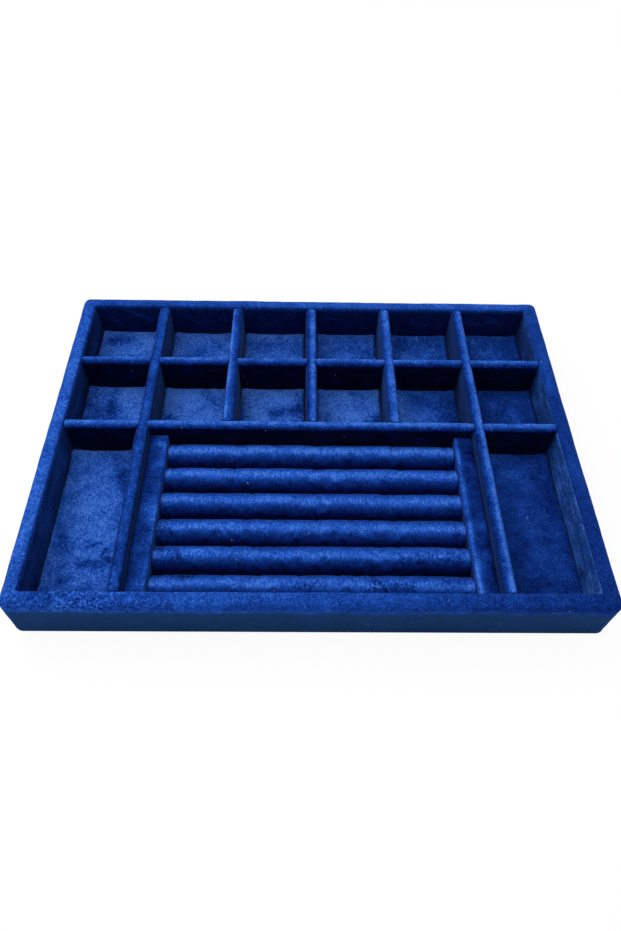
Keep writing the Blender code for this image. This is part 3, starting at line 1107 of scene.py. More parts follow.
    def lining_smudges(self, side: str) -> list[Smudge]:
        """Brushed strokes on a lining.

        Args:
            side: The wall's side.

        Returns:
            The strokes.
        """
        if side == "back":
            return strokes(
                (-0.94, 0.50, -0.90, -0.20, 0.0012, 0.18), (-0.86, 0.95, -0.76, 0.30, 0.0011, 0.20),
                (-0.82, 0.60, -0.72, 0.10, 0.0010, 0.14), (-0.60, 0.60, -0.50, -0.10, 0.0012, 0.10),
                (0.48, 0.30, 0.62, 0.05, 0.0012, 0.12), (0.72, 0.10, 0.88, 0.35, 0.0010, 0.22),
                (0.84, 0.70, 0.92, 0.20, 0.0011, 0.14))
        if side == "left":
            return strokes(
                (-0.30, 0.10, -0.75, 0.20, 0.0060, 0.10), (0.10, 0.40, 0.30, -0.10, 0.0050, 0.08),
                (0.70, 0.40, 0.62, -0.50, 0.0040, 0.06), (-0.95, 0.60, -0.90, -0.60, 0.0040, -0.08))
        if side == "right":
            return strokes(
                (-0.88, 0.40, -0.80, -0.40, 0.0035, -0.14), (-0.62, 0.30, -0.48, 0.50, 0.0030, -0.12),
                (-0.15, 0.70, 0.00, 0.50, 0.0030, -0.12), (-0.70, -0.20, -0.30, -0.30, 0.0050, 0.08),
                (0.55, 0.10, 0.80, 0.00, 0.0060, -0.06))
        return []

    def lining(self, side: str) -> bpy.types.Object:
        """A velvet-covered card inside a wall.

        Args:
            side: The wall's side: front, back, left or right.

        Returns:
            The lining.
        """
        low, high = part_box(f"{side}_lining")
        # Painted light on each lining by the way that its faces point; the right lining's inner face, towards
        # the lamp, is painted brightest
        facing_lights = {
            "front": FacingLight(0.5, 0.30, 0.30, 0.30, 0.30),
            "back": FacingLight(0.45, 0.20, 0.30, 0.20, 0.20),
            "left": FacingLight(0.45, 0.20, 0.20, 0.22, 0.36),
            "right": FacingLight(0.7, 0.20, 0.20, 0.50, 0.20),
        }
        seed = SIDES.index(side)
        right = side == "right"
        outline, sheen = (0.26, 0.25) if right else (0.05, 0.12)
        finish = Velvet(f"{side}_lining_velvet", pile=0.20, crush=0.10, crush_size=0.009, streak=0.08,
                        streak_run=(0.6, 0.6, 1.6), outline=outline, sheen=sheen, lint=0.3, offset=3.0 + seed)
        block = SoftBlock(low, high, corner=0.0005, edge=0.00045, foot=0.0003)
        piece = block.piece(f"{side}_lining_cloth", finish.material())
        normals = read_points(piece, "normal")
        inward = {"front": (1, 1), "back": (1, -1), "left": (0, 1), "right": (0, -1)}[side]
        faces_in = np.clip(normals[:, inward[0]] * inward[1], 0.0, 1.0)
        height = 0.00030 if right else 0.00018
        ruffle(piece, [Wave(0.012, height, 11 + seed), Wave(0.005, height / 2, 21 + seed)], faces_in)
        points = read_points(piece)
        along = (0, 2) if side in ("front", "back") else (1, 2)
        change = smudged(points, low, high, along, self.lining_smudges(side))
        # Painted grey sheen: most on the right lining, which faces the lamp, and some on the left
        grey_sheen_and_shade, tangle = {"right": (0.55, 0.12), "left": (0.36, 0.08)}.get(side, (0.15, 0.05))
        if side in ("left", "right"):
            change += Wave(0.010, 0.26, 25 + seed, (1, 0.5, 1)).at(points)
        if side == "left":
            change -= 0.10 * eased(points[:, 1], 0.02, high.y)
        if right:
            # Painted highlights along the right lining's edges and creases, with less grey there, on a
            # brightness that falls from the front to the back
            lines = self.edge_and_crease_highlights(points, low, high)
            change += np.interp(points[:, 1], (low.y, 0.0, high.y), (0.28, 0.04, -0.22)) + lines
            change += Wave(0.0060, 0.22, 29, (1, 0.4, 1)).at(points)
            grey_sheen_and_shade = np.clip(grey_sheen_and_shade - 1.6 * lines, 0.0, 1.0)
        paint_facing_light(piece, facing_lights[side], change, grey_sheen_and_shade, tangle)
        seat(piece, "tray", "lining_velvet", f"{side}_lining")
        return piece

    def edge_and_crease_highlights(self, points: np.ndarray, low: Vector, high: Vector) -> np.ndarray:
        """Painted highlight lines on the right wall: along its edges and where the cloth has creased.

        Args:
            points: The points, one in each row.
            low: The lining's low corner.
            high: Its high corner.

        Returns:
            How much painted highlight each point gets.
        """
        y, z = points[:, 1], points[:, 2]
        sway = Wave(0.022, 0.0030, 27).at(points)
        broken = 0.5 + Wave(0.012, 1.0, 28).at(points).clip(-0.5, 0.5)
        lines = [(high.z - 0.0008, 0.0, 0.24), (low.z + 0.0065, 0.2, 0.20), (high.z - 0.0085, 1.0, 0.24),
                 (low.z + 0.0110, -1.4, 0.20)]
        total = np.zeros(len(points))
        for level, follow, rise in lines:
            shown = 0.35 + 0.65 * broken if follow == 0.0 else broken
            total += rise * shown * np.exp(-(((z - level - follow * sway) / 0.0009) ** 2))
        total += 0.34 * np.exp(-(((y - low.y - 0.0022) / 0.0010) ** 2))
        return total

    def underside(self) -> bpy.types.Object:
        """The felt-faced card glued over the turned-in velvet.

        Returns:
            The felt card.
        """
        low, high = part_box("bottom_lining")
        finish = Felt("underside_felt", shade(0x141A2C), shade(0x070A14))
        block = SoftBlock(low, high, step=0.004, corner=0.0008, edge=0.0003, foot=0.0002)
        piece = block.piece("underside_felt", finish.material())
        seat(piece, "tray", "underside_felt", "bottom_lining")
        return piece

    def boards(self) -> list[bpy.types.Object]:
        """Dress the base and wall boards.

        Returns:
            Their objects.
        """
        fibre = Board("fibreboard", shade(0xA58359), shade(0x7A5C3B)).material()
        names = ["base_board"] + [f"{side}_wall_board" for side in SIDES]
        return [dress(name, fibre) for name in names]

    def build(self) -> list[bpy.types.Object]:
        """Make the whole shell."""
        linings = [self.lining(side) for side in SIDES]
        return [self.wrap(), *linings, self.underside(), *self.boards()]


def dress(node: str, material: bpy.types.Material) -> bpy.types.Object:
    """Give a solid that stays its finish.

    Args:
        node: The solid's name.
        material: The finish.

    Returns:
        The solid's object.
    """
    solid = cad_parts[node]
    solid.data.materials.clear()
    solid.data.materials.append(material)
    return solid


# Five painted light levels across the rounded top of a divider
Levels = tuple[float, float, float, float, float]


class Along(Enum):
    """The way that a divider runs, as the number of its axis."""

    ACROSS = 0
    DEEP = 1


@dataclass
class Sleeve:
    """Velvet folded over one divider board, cut where it crosses others."""

    name: str
    along: Along
    facing_light: FacingLight
    seed: float
    slots: tuple[float, ...] = ()
    slot_half: float = 0.0
    meets: tuple[float, ...] = ()
    # How much painted grey sheen and shade its sides get, and the painted light across its top at the back and
    # at the front
    grey_sheen_and_shade: float = 0.0
    crest: Levels = (0.6, 0.6, 0.6, 0.6, 0.6)
    front_crest: Levels = (0.6, 0.6, 0.6, 0.6, 0.6)
    bulge: tuple[float, float, float] = (0.0, 0.01, 0.0)
    # Where, front to back, the painted light across the top turns from the back's levels to the front's
    blend: tuple[float, float] = (0.010, -0.010)
    step: float = 0.0015
    top_round: float = 0.0032
    tuck_in: float = 0.0009
    tuck_depth: float = 0.00025
    tuck_reach: float = 0.0015
    seam: float = 0.0001

    # Between which tilts the top starts, for each way that a divider runs, and between which heights the
    #     # painted shade on its sides lifts from its level at the foot
    turns: tuple[tuple[float, float], tuple[float, float]] = ((0.22, 0.68), (0.25, 0.75))
    side_light: tuple[float, float] = (0.008, 0.028)
    foot_shade: float = 0.45

    def breaks(self, start: float, end: float) -> list[float]:
        """Places along the sleeve, with one at each side of each slot.

        Args:
            start: Where the sleeve starts.
            end: Where it ends.

        Returns:
            The places, in order.
        """
        marks = [start, end]
        for line in self.slots:
            marks += [line - self.slot_half, line + self.slot_half]
        marks.sort()
        places = [marks[0]]
        for near, far in zip(marks, marks[1:]):
            count = max(1, round((far - near) / self.step))
            places += [near + (far - near) * i / count for i in range(1, count + 1)]
        return places

    def build(self, material: bpy.types.Material) -> bpy.types.Object:
        """Make the sleeve.

        Args:
            material: Its finish.

        Returns:
            The sleeve.
        """
        low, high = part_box(f"{self.name}_velvet")
        axis = self.along.value
        line = (low[1 - axis] + high[1 - axis]) / 2
        half = (high[1 - axis] - low[1 - axis]) / 2
        middle = (low.z + high.z) / 2
        shoulder = high.z - self.top_round
        side = [(-half, low.z)] + run((-half, low.z), (-half, middle), self.step) + [(-half, middle)]
        lower = len(side) - 1
        side += run((-half, middle), (-half, shoulder), self.step)
        side += arc((self.top_round - half, shoulder), self.top_round, math.pi, 5)
        crest = run(side[-1], (half - self.top_round, high.z), self.step / 2)
        profile = side + crest + [(-across, level) for across, level in side[::-1]]
        places = self.breaks(low[axis], high[axis])
        points = np.zeros((len(places), len(profile), 3))
        points[:, :, axis] = np.array(places)[:, None]
        points[:, :, 1 - axis] = line + np.array([across for across, _ in profile])
        points[:, :, 2] = np.array([level for _, level in profile])
        self.fit(points, half, middle, shoulder)
        count = len(profile)
        kept = []
        for face in grid_faces(len(places), count, False, False):
            place = (places[face[0] // count] + places[face[2] // count]) / 2
            column = face[0] % count
            in_lower = column < lower or column >= count - 1 - lower
            in_slot = any(abs(place - line) < self.slot_half for line in self.slots)
            if not (in_slot and in_lower == (self.along is Along.DEEP)):
                kept.append(face[::-1] if axis == 0 else face)
        piece = new_piece(f"{self.name}_sleeve", points.reshape(-1, 3), kept, material)
        waves = [Wave(0.018, 0.00018, self.seed), Wave(0.0060, 0.00010, self.seed + 1)]
        flat = points.reshape(-1, 3)
        ruffle(piece, waves)
        self.swell(piece, flat, line, middle)
        if self.along is Along.ACROSS:
            self.tuck(piece, flat[:, axis])
        thicken(piece, VELVET)
        self.paint_pile_and_light(piece, line, half)
        seat(piece, "tray", "divider_velvet", f"{self.name}_velvet")
        return piece

    def fit(self, points: np.ndarray, half: float, middle: float, shoulder: float) -> None:
        """Carry the cut ends up to the rounded side of the dividers that they meet.

        Args:
            points: The sleeve's points, by place and by profile, which are changed.
            half: Half of a divider's thickness.
            middle: Half its height, above which the sleeve is cut.
            shoulder: Where a divider's side starts to turn in.
        """
        over = np.clip(points[:, :, 2] - shoulder, 0.0, self.top_round)
        side = half - self.top_round + np.sqrt(self.top_round**2 - over**2)
        reach = np.maximum(side, half - self.tuck_in) + self.seam
        axis = self.along.value
        for line in self.meets:
            away = points[:, :, axis] - line
            ends = (np.abs(np.abs(away) - self.slot_half) < self.seam / 2) & (points[:, :, 2] > middle)
            points[:, :, axis] = np.where(ends, line + np.sign(away) * reach, points[:, :, axis])

    def paint_pile_and_light(self, piece: bpy.types.Object, line: float, half: float) -> None:
        """Paint the sleeve's light: painted light across its top, and painted shade on its sides, darker
        downwards.

        Args:
            piece: The sleeve.
            line: Its middle line.
            half: Half its thickness.
        """
        points, normals = read_points(piece), read_points(piece, "normal")
        # Painted light across the top, with the back's levels turning to the front's
        across = np.clip((points[:, 1 - self.along.value] - line) / (half - VELVET), -1.0, 1.0)
        marks = np.linspace(-1.0, 1.0, len(self.crest))
        ahead = eased(points[:, 1], *self.blend) if self.along is Along.DEEP else 0.0
        crest = np.interp(across, marks, self.crest) * (1 - ahead)
        crest += np.interp(across, marks, self.front_crest) * ahead
        mottle = Wave(0.009, 0.10, self.seed + 3).at(points) + Wave(0.004, 0.08, self.seed + 4).at(points)
        up = eased(normals[:, 2], *self.turns[self.along.value])
        # Painted shade on the sides by the way that they face, darker towards the foot
        side_light = eased(points[:, 2], *self.side_light)
        sides = self.facing_light.at(points, normals) * (self.foot_shade + (1 - self.foot_shade) * side_light)
        sides += Wave(0.008, 0.10, self.seed + 5, (0.6, 0.6, 1.4)).at(points) * (self.facing_light.left > 0.1)
        # Painted grey sheen and shade on the sides, less on faces that point right
        grey_sheen_and_shade = np.where(normals[:, 0] > 0, 0.3, 1.0) * self.grey_sheen_and_shade * (1 - up)
        store_pile_and_light(piece, sides * (1 - up) + (crest + mottle) * up, grey_sheen_and_shade, 0.04 + 0.05 * up)

    def swell(self, piece: bpy.types.Object, flat: np.ndarray, line: float, middle: float) -> None:
        """Let the cloth stand out at one place on one side.

        Args:
            piece: The sleeve.
            flat: Its points before they were moved.
            line: The sleeve's middle line.
            middle: Half its height.
        """
        place, size, height = self.bulge
        if height:
            axis = self.along.value
            near = np.exp(-(((flat[:, axis] - place) / size) ** 2))
            side = np.where((flat[:, 1 - axis] - line) * height > 0, 1.0, 0.0)
            upper = eased(flat[:, 2], middle - 0.006, middle + 0.006)
            points = read_points(piece)
            points[:, 1 - axis] += height * near * side * upper
            write_points(piece, points)

    def tuck(self, piece: bpy.types.Object, places: np.ndarray) -> None:
        """Draw the cloth in where the sleeve meets the dividers that cross it.

        Args:
            piece: The sleeve.
            places: Each point's place along it.
        """
        near = np.full(len(places), 1.0)
        for line in self.slots:
            near = np.minimum(near, np.abs(np.abs(places - line) - self.slot_half))
        depth = self.tuck_depth * np.exp(-((near / self.tuck_reach) ** 2))
        write_points(piece, read_points(piece) - read_points(piece, "normal") * depth[:, None])


@dataclass
class EggCrate:
    """Five dividers front to back and two across, halved together, each a board in a velvet sleeve."""

    # The painted light across the top of each divider that runs front to back, at the back and at the front,
    # and across the tops of the two that run across
    crests: dict[str, tuple[Levels, Levels]] = field(default_factory=lambda: {
        "long_divider_left": ((0.40, 0.48, 0.58, 0.62, 0.66), (0.32, 0.56, 0.56, 0.54, 0.50)),
        "short_divider_left": ((0.94, 0.70, 0.58, 0.47, 0.38),) * 2,
        "short_divider_middle": ((0.28, 0.46, 0.72, 0.82, 0.74),) * 2,
        "short_divider_right": ((0.44, 0.68, 0.74, 0.80, 0.72),) * 2,
        "long_divider_right": ((0.34, 0.60, 0.76, 0.88, 0.78), (0.34, 0.48, 0.72, 0.90, 0.78)),
    })
    rear_crest: Levels = (0.30, 0.52, 0.68, 0.74, 0.84)
    front_crest: Levels = (0.34, 0.60, 0.77, 0.80, 0.86)

    def deep(self, name: str) -> FacingLight:
        """The painted light on the sides of a divider that runs front to back.

        Args:
            name: The divider's name.

        Returns:
            The painted light, brighter on faces towards the lamp on the left.
        """
        left = 0.26 if name == "long_divider_right" else 0.28
        return FacingLight(0.5, 0.30, 0.40, left, 0.11)

    def build(self) -> list[bpy.types.Object]:
        """Make the sleeves and dress the boards.

        Returns:
            All of the egg crate's objects.
        """
        deep = list(self.crests)
        across = ["rear_cross_divider", "front_cross_divider"]
        boxes = {name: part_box(f"{name}_velvet") for name in deep + across}
        columns = {name: (boxes[name][0].x + boxes[name][1].x) / 2 for name in deep}
        rows = {name: (boxes[name][0].y + boxes[name][1].y) / 2 for name in across}
        width = boxes[deep[0]][1].x - boxes[deep[0]][0].x
        slot_half = width / 2 + GLUE
        cloth_deep = Velvet("deep_divider_velvet", streak_run=(1, 0.5, 1), streak=0.12).material()
        cloth_across = Velvet("cross_divider_velvet", pile=0.46, streak_run=(0.5, 1, 1), streak=0.10,
                              fray=0.34, offset=9.0, sheen=0.22).material()
        made = []
        for seed, name in enumerate(deep):
            slots = tuple(line for line in rows.values() if boxes[name][0].y < line < boxes[name][1].y)
            first = name == "long_divider_left"
            bulge = (-0.012, 0.012, -0.0010 if first else 0.0)
            blend = (0.080, 0.030) if first else (0.010, -0.010)
            meets = () if name.startswith("long") else (rows["front_cross_divider"],)
            sleeve = Sleeve(name, Along.DEEP, self.deep(name), 31 + seed, slots, slot_half, meets, 0.45,
                            *self.crests[name], bulge, blend)
            made.append(sleeve.build(cloth_deep))
        for seed, name in enumerate(across):
            rear = name == "rear_cross_divider"
            crossing = deep if rear else [deep[0], deep[-1]]
            crest = self.rear_crest if rear else self.front_crest
            slots = tuple(columns[other] for other in crossing)
            # Painted light on the cross dividers' sides: their front faces painted near black as shade
            facing_light = FacingLight(0.5, 0.035, 0.45, 0.3, 0.3)
            sleeve = Sleeve(name, Along.ACROSS, facing_light, 41 + seed, slots, slot_half, slots, 0.0, crest, crest)
            made.append(sleeve.build(cloth_across))
        grey = Board("divider_greyboard", shade(0x8E8A80), shade(0x6E6A62)).material()
        return made + [dress(f"{name}_board", grey) for name in deep + across]


# Each floor card's brightness, with the painted light falling off from the left of the tray to the right, and
# its strokes
CARDS = {
    "cell_pad_row1_1": (0.80, strokes(
        (-0.55, 0.55, -0.10, 0.60, 0.0055, -0.18), (0.00, -0.35, 0.75, -0.55, 0.0075, -0.14),
        (-0.80, -0.60, -0.40, -0.70, 0.0060, 0.05), (0.30, 0.55, 0.70, 0.35, 0.0070, 0.05))),
    "cell_pad_row1_2": (0.82, strokes(
        (-0.10, -0.05, 0.35, 0.20, 0.0075, -0.12), (-0.60, 0.50, 0.70, 0.60, 0.0060, -0.07),
        (0.10, -0.75, 0.80, -0.50, 0.0060, 0.08), (-0.70, -0.60, -0.30, -0.70, 0.0060, 0.05))),
    "cell_pad_row1_3": (0.77, strokes(
        (-0.50, 0.40, 0.80, 0.35, 0.0085, -0.10), (-0.60, -0.60, 0.60, -0.65, 0.0070, 0.07))),
    "cell_pad_row1_4": (0.71, strokes(
        (0.00, 0.50, 0.80, 0.20, 0.0095, -0.08), (-0.70, -0.60, 0.00, -0.40, 0.0070, 0.07))),
    "cell_pad_row1_5": (0.60, strokes(
        (-0.60, 0.60, 0.60, 0.55, 0.0080, -0.06), (-0.40, -0.10, 0.40, -0.60, 0.0055, 0.08))),
    "cell_pad_row1_6": (0.50, strokes(
        (-0.90, 0.97, 0.90, 0.97, 0.0010, 0.26), (-0.60, -0.75, 0.80, -0.75, 0.0080, -0.12),
        (-0.40, 0.20, 0.20, -0.20, 0.0070, 0.06), (0.60, 0.50, 0.70, -0.60, 0.0060, -0.05))),
    "cell_pad_row2_1": (0.80, strokes(
        (-0.10, 0.95, -0.20, 0.10, 0.0032, -0.15), (-0.15, 0.00, 0.35, -0.75, 0.0070, -0.16),
        (0.45, 0.50, 0.70, 0.00, 0.0090, 0.06), (-0.75, 0.70, -0.70, -0.50, 0.0090, -0.12))),
    "cell_pad_row2_2": (0.84, strokes(
        (-0.80, -0.75, -0.75, -0.20, 0.0050, -0.14), (0.30, 0.80, 0.75, 0.25, 0.0045, -0.14),
        (-0.50, 0.30, -0.10, 0.00, 0.0080, 0.04))),
    "cell_pad_row2_3": (0.83, strokes(
        (0.12, 0.02, 0.78, 0.18, 0.0046, -0.24), (-0.40, 0.20, -0.10, -0.50, 0.0070, 0.06),
        (0.80, 0.60, 0.80, -0.40, 0.0050, -0.06), (-0.95, 0.60, -0.92, -0.60, 0.0040, -0.12))),
    "cell_pad_row2_4": (0.80, strokes(
        (-0.60, -0.92, 0.85, -0.20, 0.0032, -0.26), (0.10, 0.80, 0.50, 0.66, 0.0036, -0.12),
        (0.30, -0.80, 0.90, -0.60, 0.0050, -0.14), (-0.50, 0.10, 0.10, -0.10, 0.0080, 0.06))),
    "cell_pad_row2_5": (0.61, strokes(
        (0.10, 0.60, 0.80, 0.30, 0.0090, -0.08), (-0.70, -0.30, 0.10, -0.10, 0.0080, 0.08),
        (-0.85, 0.60, -0.75, -0.60, 0.0090, 0.12), (0.70, 0.20, 0.80, -0.70, 0.0070, -0.10))),
    "cell_pad_row2_6": (0.44, strokes(
        (0.25, 0.30, 0.30, -0.50, 0.0030, 0.06), (-0.60, 0.00, -0.40, -0.50, 0.0060, -0.04))),
    "long_pad_left": (0.78, strokes(
        (0.30, 0.88, 0.60, 0.62, 0.0045, -0.13), (0.60, 0.62, 0.92, 0.30, 0.0040, -0.18),
        (0.05, -0.33, 0.40, -0.25, 0.0011, -0.20), (0.47, -0.43, 0.53, -0.34, 0.0011, -0.28),
        (0.02, -0.52, 0.95, -0.47, 0.0026, -0.18), (-0.78, -0.10, -0.55, -0.28, 0.0050, -0.08),
        (-0.60, -0.58, -0.20, -0.50, 0.0030, -0.08), (-0.50, -0.72, -0.30, -0.66, 0.0028, -0.12),
        (-0.60, -0.93, 0.00, -0.88, 0.0040, -0.12), (0.20, -0.80, 0.75, -0.92, 0.0045, -0.12),
        (-0.10, 0.20, 0.20, -0.10, 0.0110, 0.06))),
    "long_pad_right": (0.45, strokes(
        (-0.60, 0.90, 0.10, 0.55, 0.0060, 0.09), (-0.55, 0.55, -0.20, 0.20, 0.0080, 0.06),
        (0.10, -0.15, 0.40, -0.50, 0.0090, 0.04), (-0.20, -0.75, 0.20, -0.70, 0.0050, -0.05),
        (0.60, 0.60, 0.70, 0.10, 0.0060, -0.04))),
}


@dataclass
class FloorCards:
    """The padded velvet cards on the compartments' floors."""

    corner: float = 0.0030
    edge: float = 0.0010
    side: float = 0.0051
    draw_in: float = 0.0003
    step: float = 0.0019
    rise_back: float = 0.0012
    rise_side: float = 0.0014
    back_reach: float = 0.0100
    side_reach: float = 0.0060
    outer_column: float = 0.10
    dent: float = 0.0018
    grow: float = 0.0003
    spread: float = 0.0004
    puff: Puff = Puff(slack=0.025, reach=0.0007)

    def rise(self, points: np.ndarray, low: Vector, high: Vector) -> np.ndarray:
        """How far a card in an outer column stands up at its back edge and along the tray's side.

        Args:
            points: The points, one in each row.
            low: The card's low corner.
            high: Its high corner.

        Returns:
            One number for each point.
        """
        upper = eased(points[:, 2], low.z + 0.0005, high.z - 0.0010)
        back = self.rise_back * np.exp((points[:, 1] - high.y) / self.back_reach)
        if high.x < -self.outer_column:
            side = self.rise_side * np.exp((low.x - points[:, 0]) / self.side_reach)
            return upper * np.maximum(back, side)
        if low.x > self.outer_column:
            side = 0.8 * self.rise_side * np.exp((points[:, 0] - high.x) / self.side_reach)
            return upper * np.maximum(0.5 * back, side)
        return np.zeros(len(points))

    def card(self, name: str, seed: int) -> bpy.types.Object:
        """One padded card.

        Args:
            name: The solid's name.
            seed: A number that sets its folds apart from the others'.

        Returns:
            The card.
        """
        low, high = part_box(name)
        level, smudges = CARDS[name]
        grow = Vector((self.grow, self.grow, 0.0))
        top = Vector((high.x, high.y, low.z + self.side))
        block = SoftBlock(low - grow, top + grow, step=self.step, corner=self.corner, edge=self.edge,
                          foot=0.0003, crown=high.z - top.z, draw_in=self.draw_in)
        pile = 0.56 if name.startswith("long") else 0.78
        finish = Velvet(f"{name}_velvet", pile=pile, tuft=0.24, crush_size=0.012, offset=50.0 + 3.7 * seed)
        piece = block.piece(f"{name}_cushion", finish.material())
        points = read_points(piece)
        rise = eased(points[:, 2], low.z + 0.3 * self.side, low.z + 0.9 * self.side)
        ruffle(piece, [Wave(0.022, 0.00030, 60 + seed), Wave(0.007, 0.00014, 80 + seed)], rise)
        self.puff.swell(piece, 1.0 - 0.96 * rise)
        refine(piece)
        points = read_points(piece)
        change = 1.6 * smudged(points, low, high, (0, 1), smudges)
        upper = eased(points[:, 2], low.z + 0.5 * self.side, low.z + self.side)
        dent = np.minimum(change, 0.0) * self.dent * upper
        points[:, 2] += dent + self.rise(points, low, high)
        least, most = np.array(low)[:2] - self.spread, np.array(high)[:2] + self.spread
        points[:, :2] = np.clip(points[:, :2], least, most)
        write_points(piece, points)
        change += Wave(0.009, 0.09, 90 + seed).at(points) + Wave(0.004, 0.08, 91 + seed).at(points)
        # Painted light along the card's back and left edges, which lightens the shade that the walls cast
        # there
        edge_light = 0.30 * max(level - 0.20, 0.0)
        change += edge_light * np.exp((points[:, 1] - high.y) / 0.0080)
        change += 0.4 * edge_light * np.exp((low.x - points[:, 0]) / 0.0030)
        tangle = 0.06 + 0.4 * np.maximum(-change, 0.0)
        # Painted shade on the card's front and right sides, by the way that they face
        paint_facing_light(piece, FacingLight(level, 0.30, level, level, 0.35), change, 0.0, np.minimum(tangle, 0.16))
        seat(piece, "tray", "pad_velvet", name)
        return piece

    def build(self) -> list[bpy.types.Object]:
        """Make the twelve small cards and the two long ones."""
        return [self.card(name, seed + 1) for seed, name in enumerate(CARDS)]


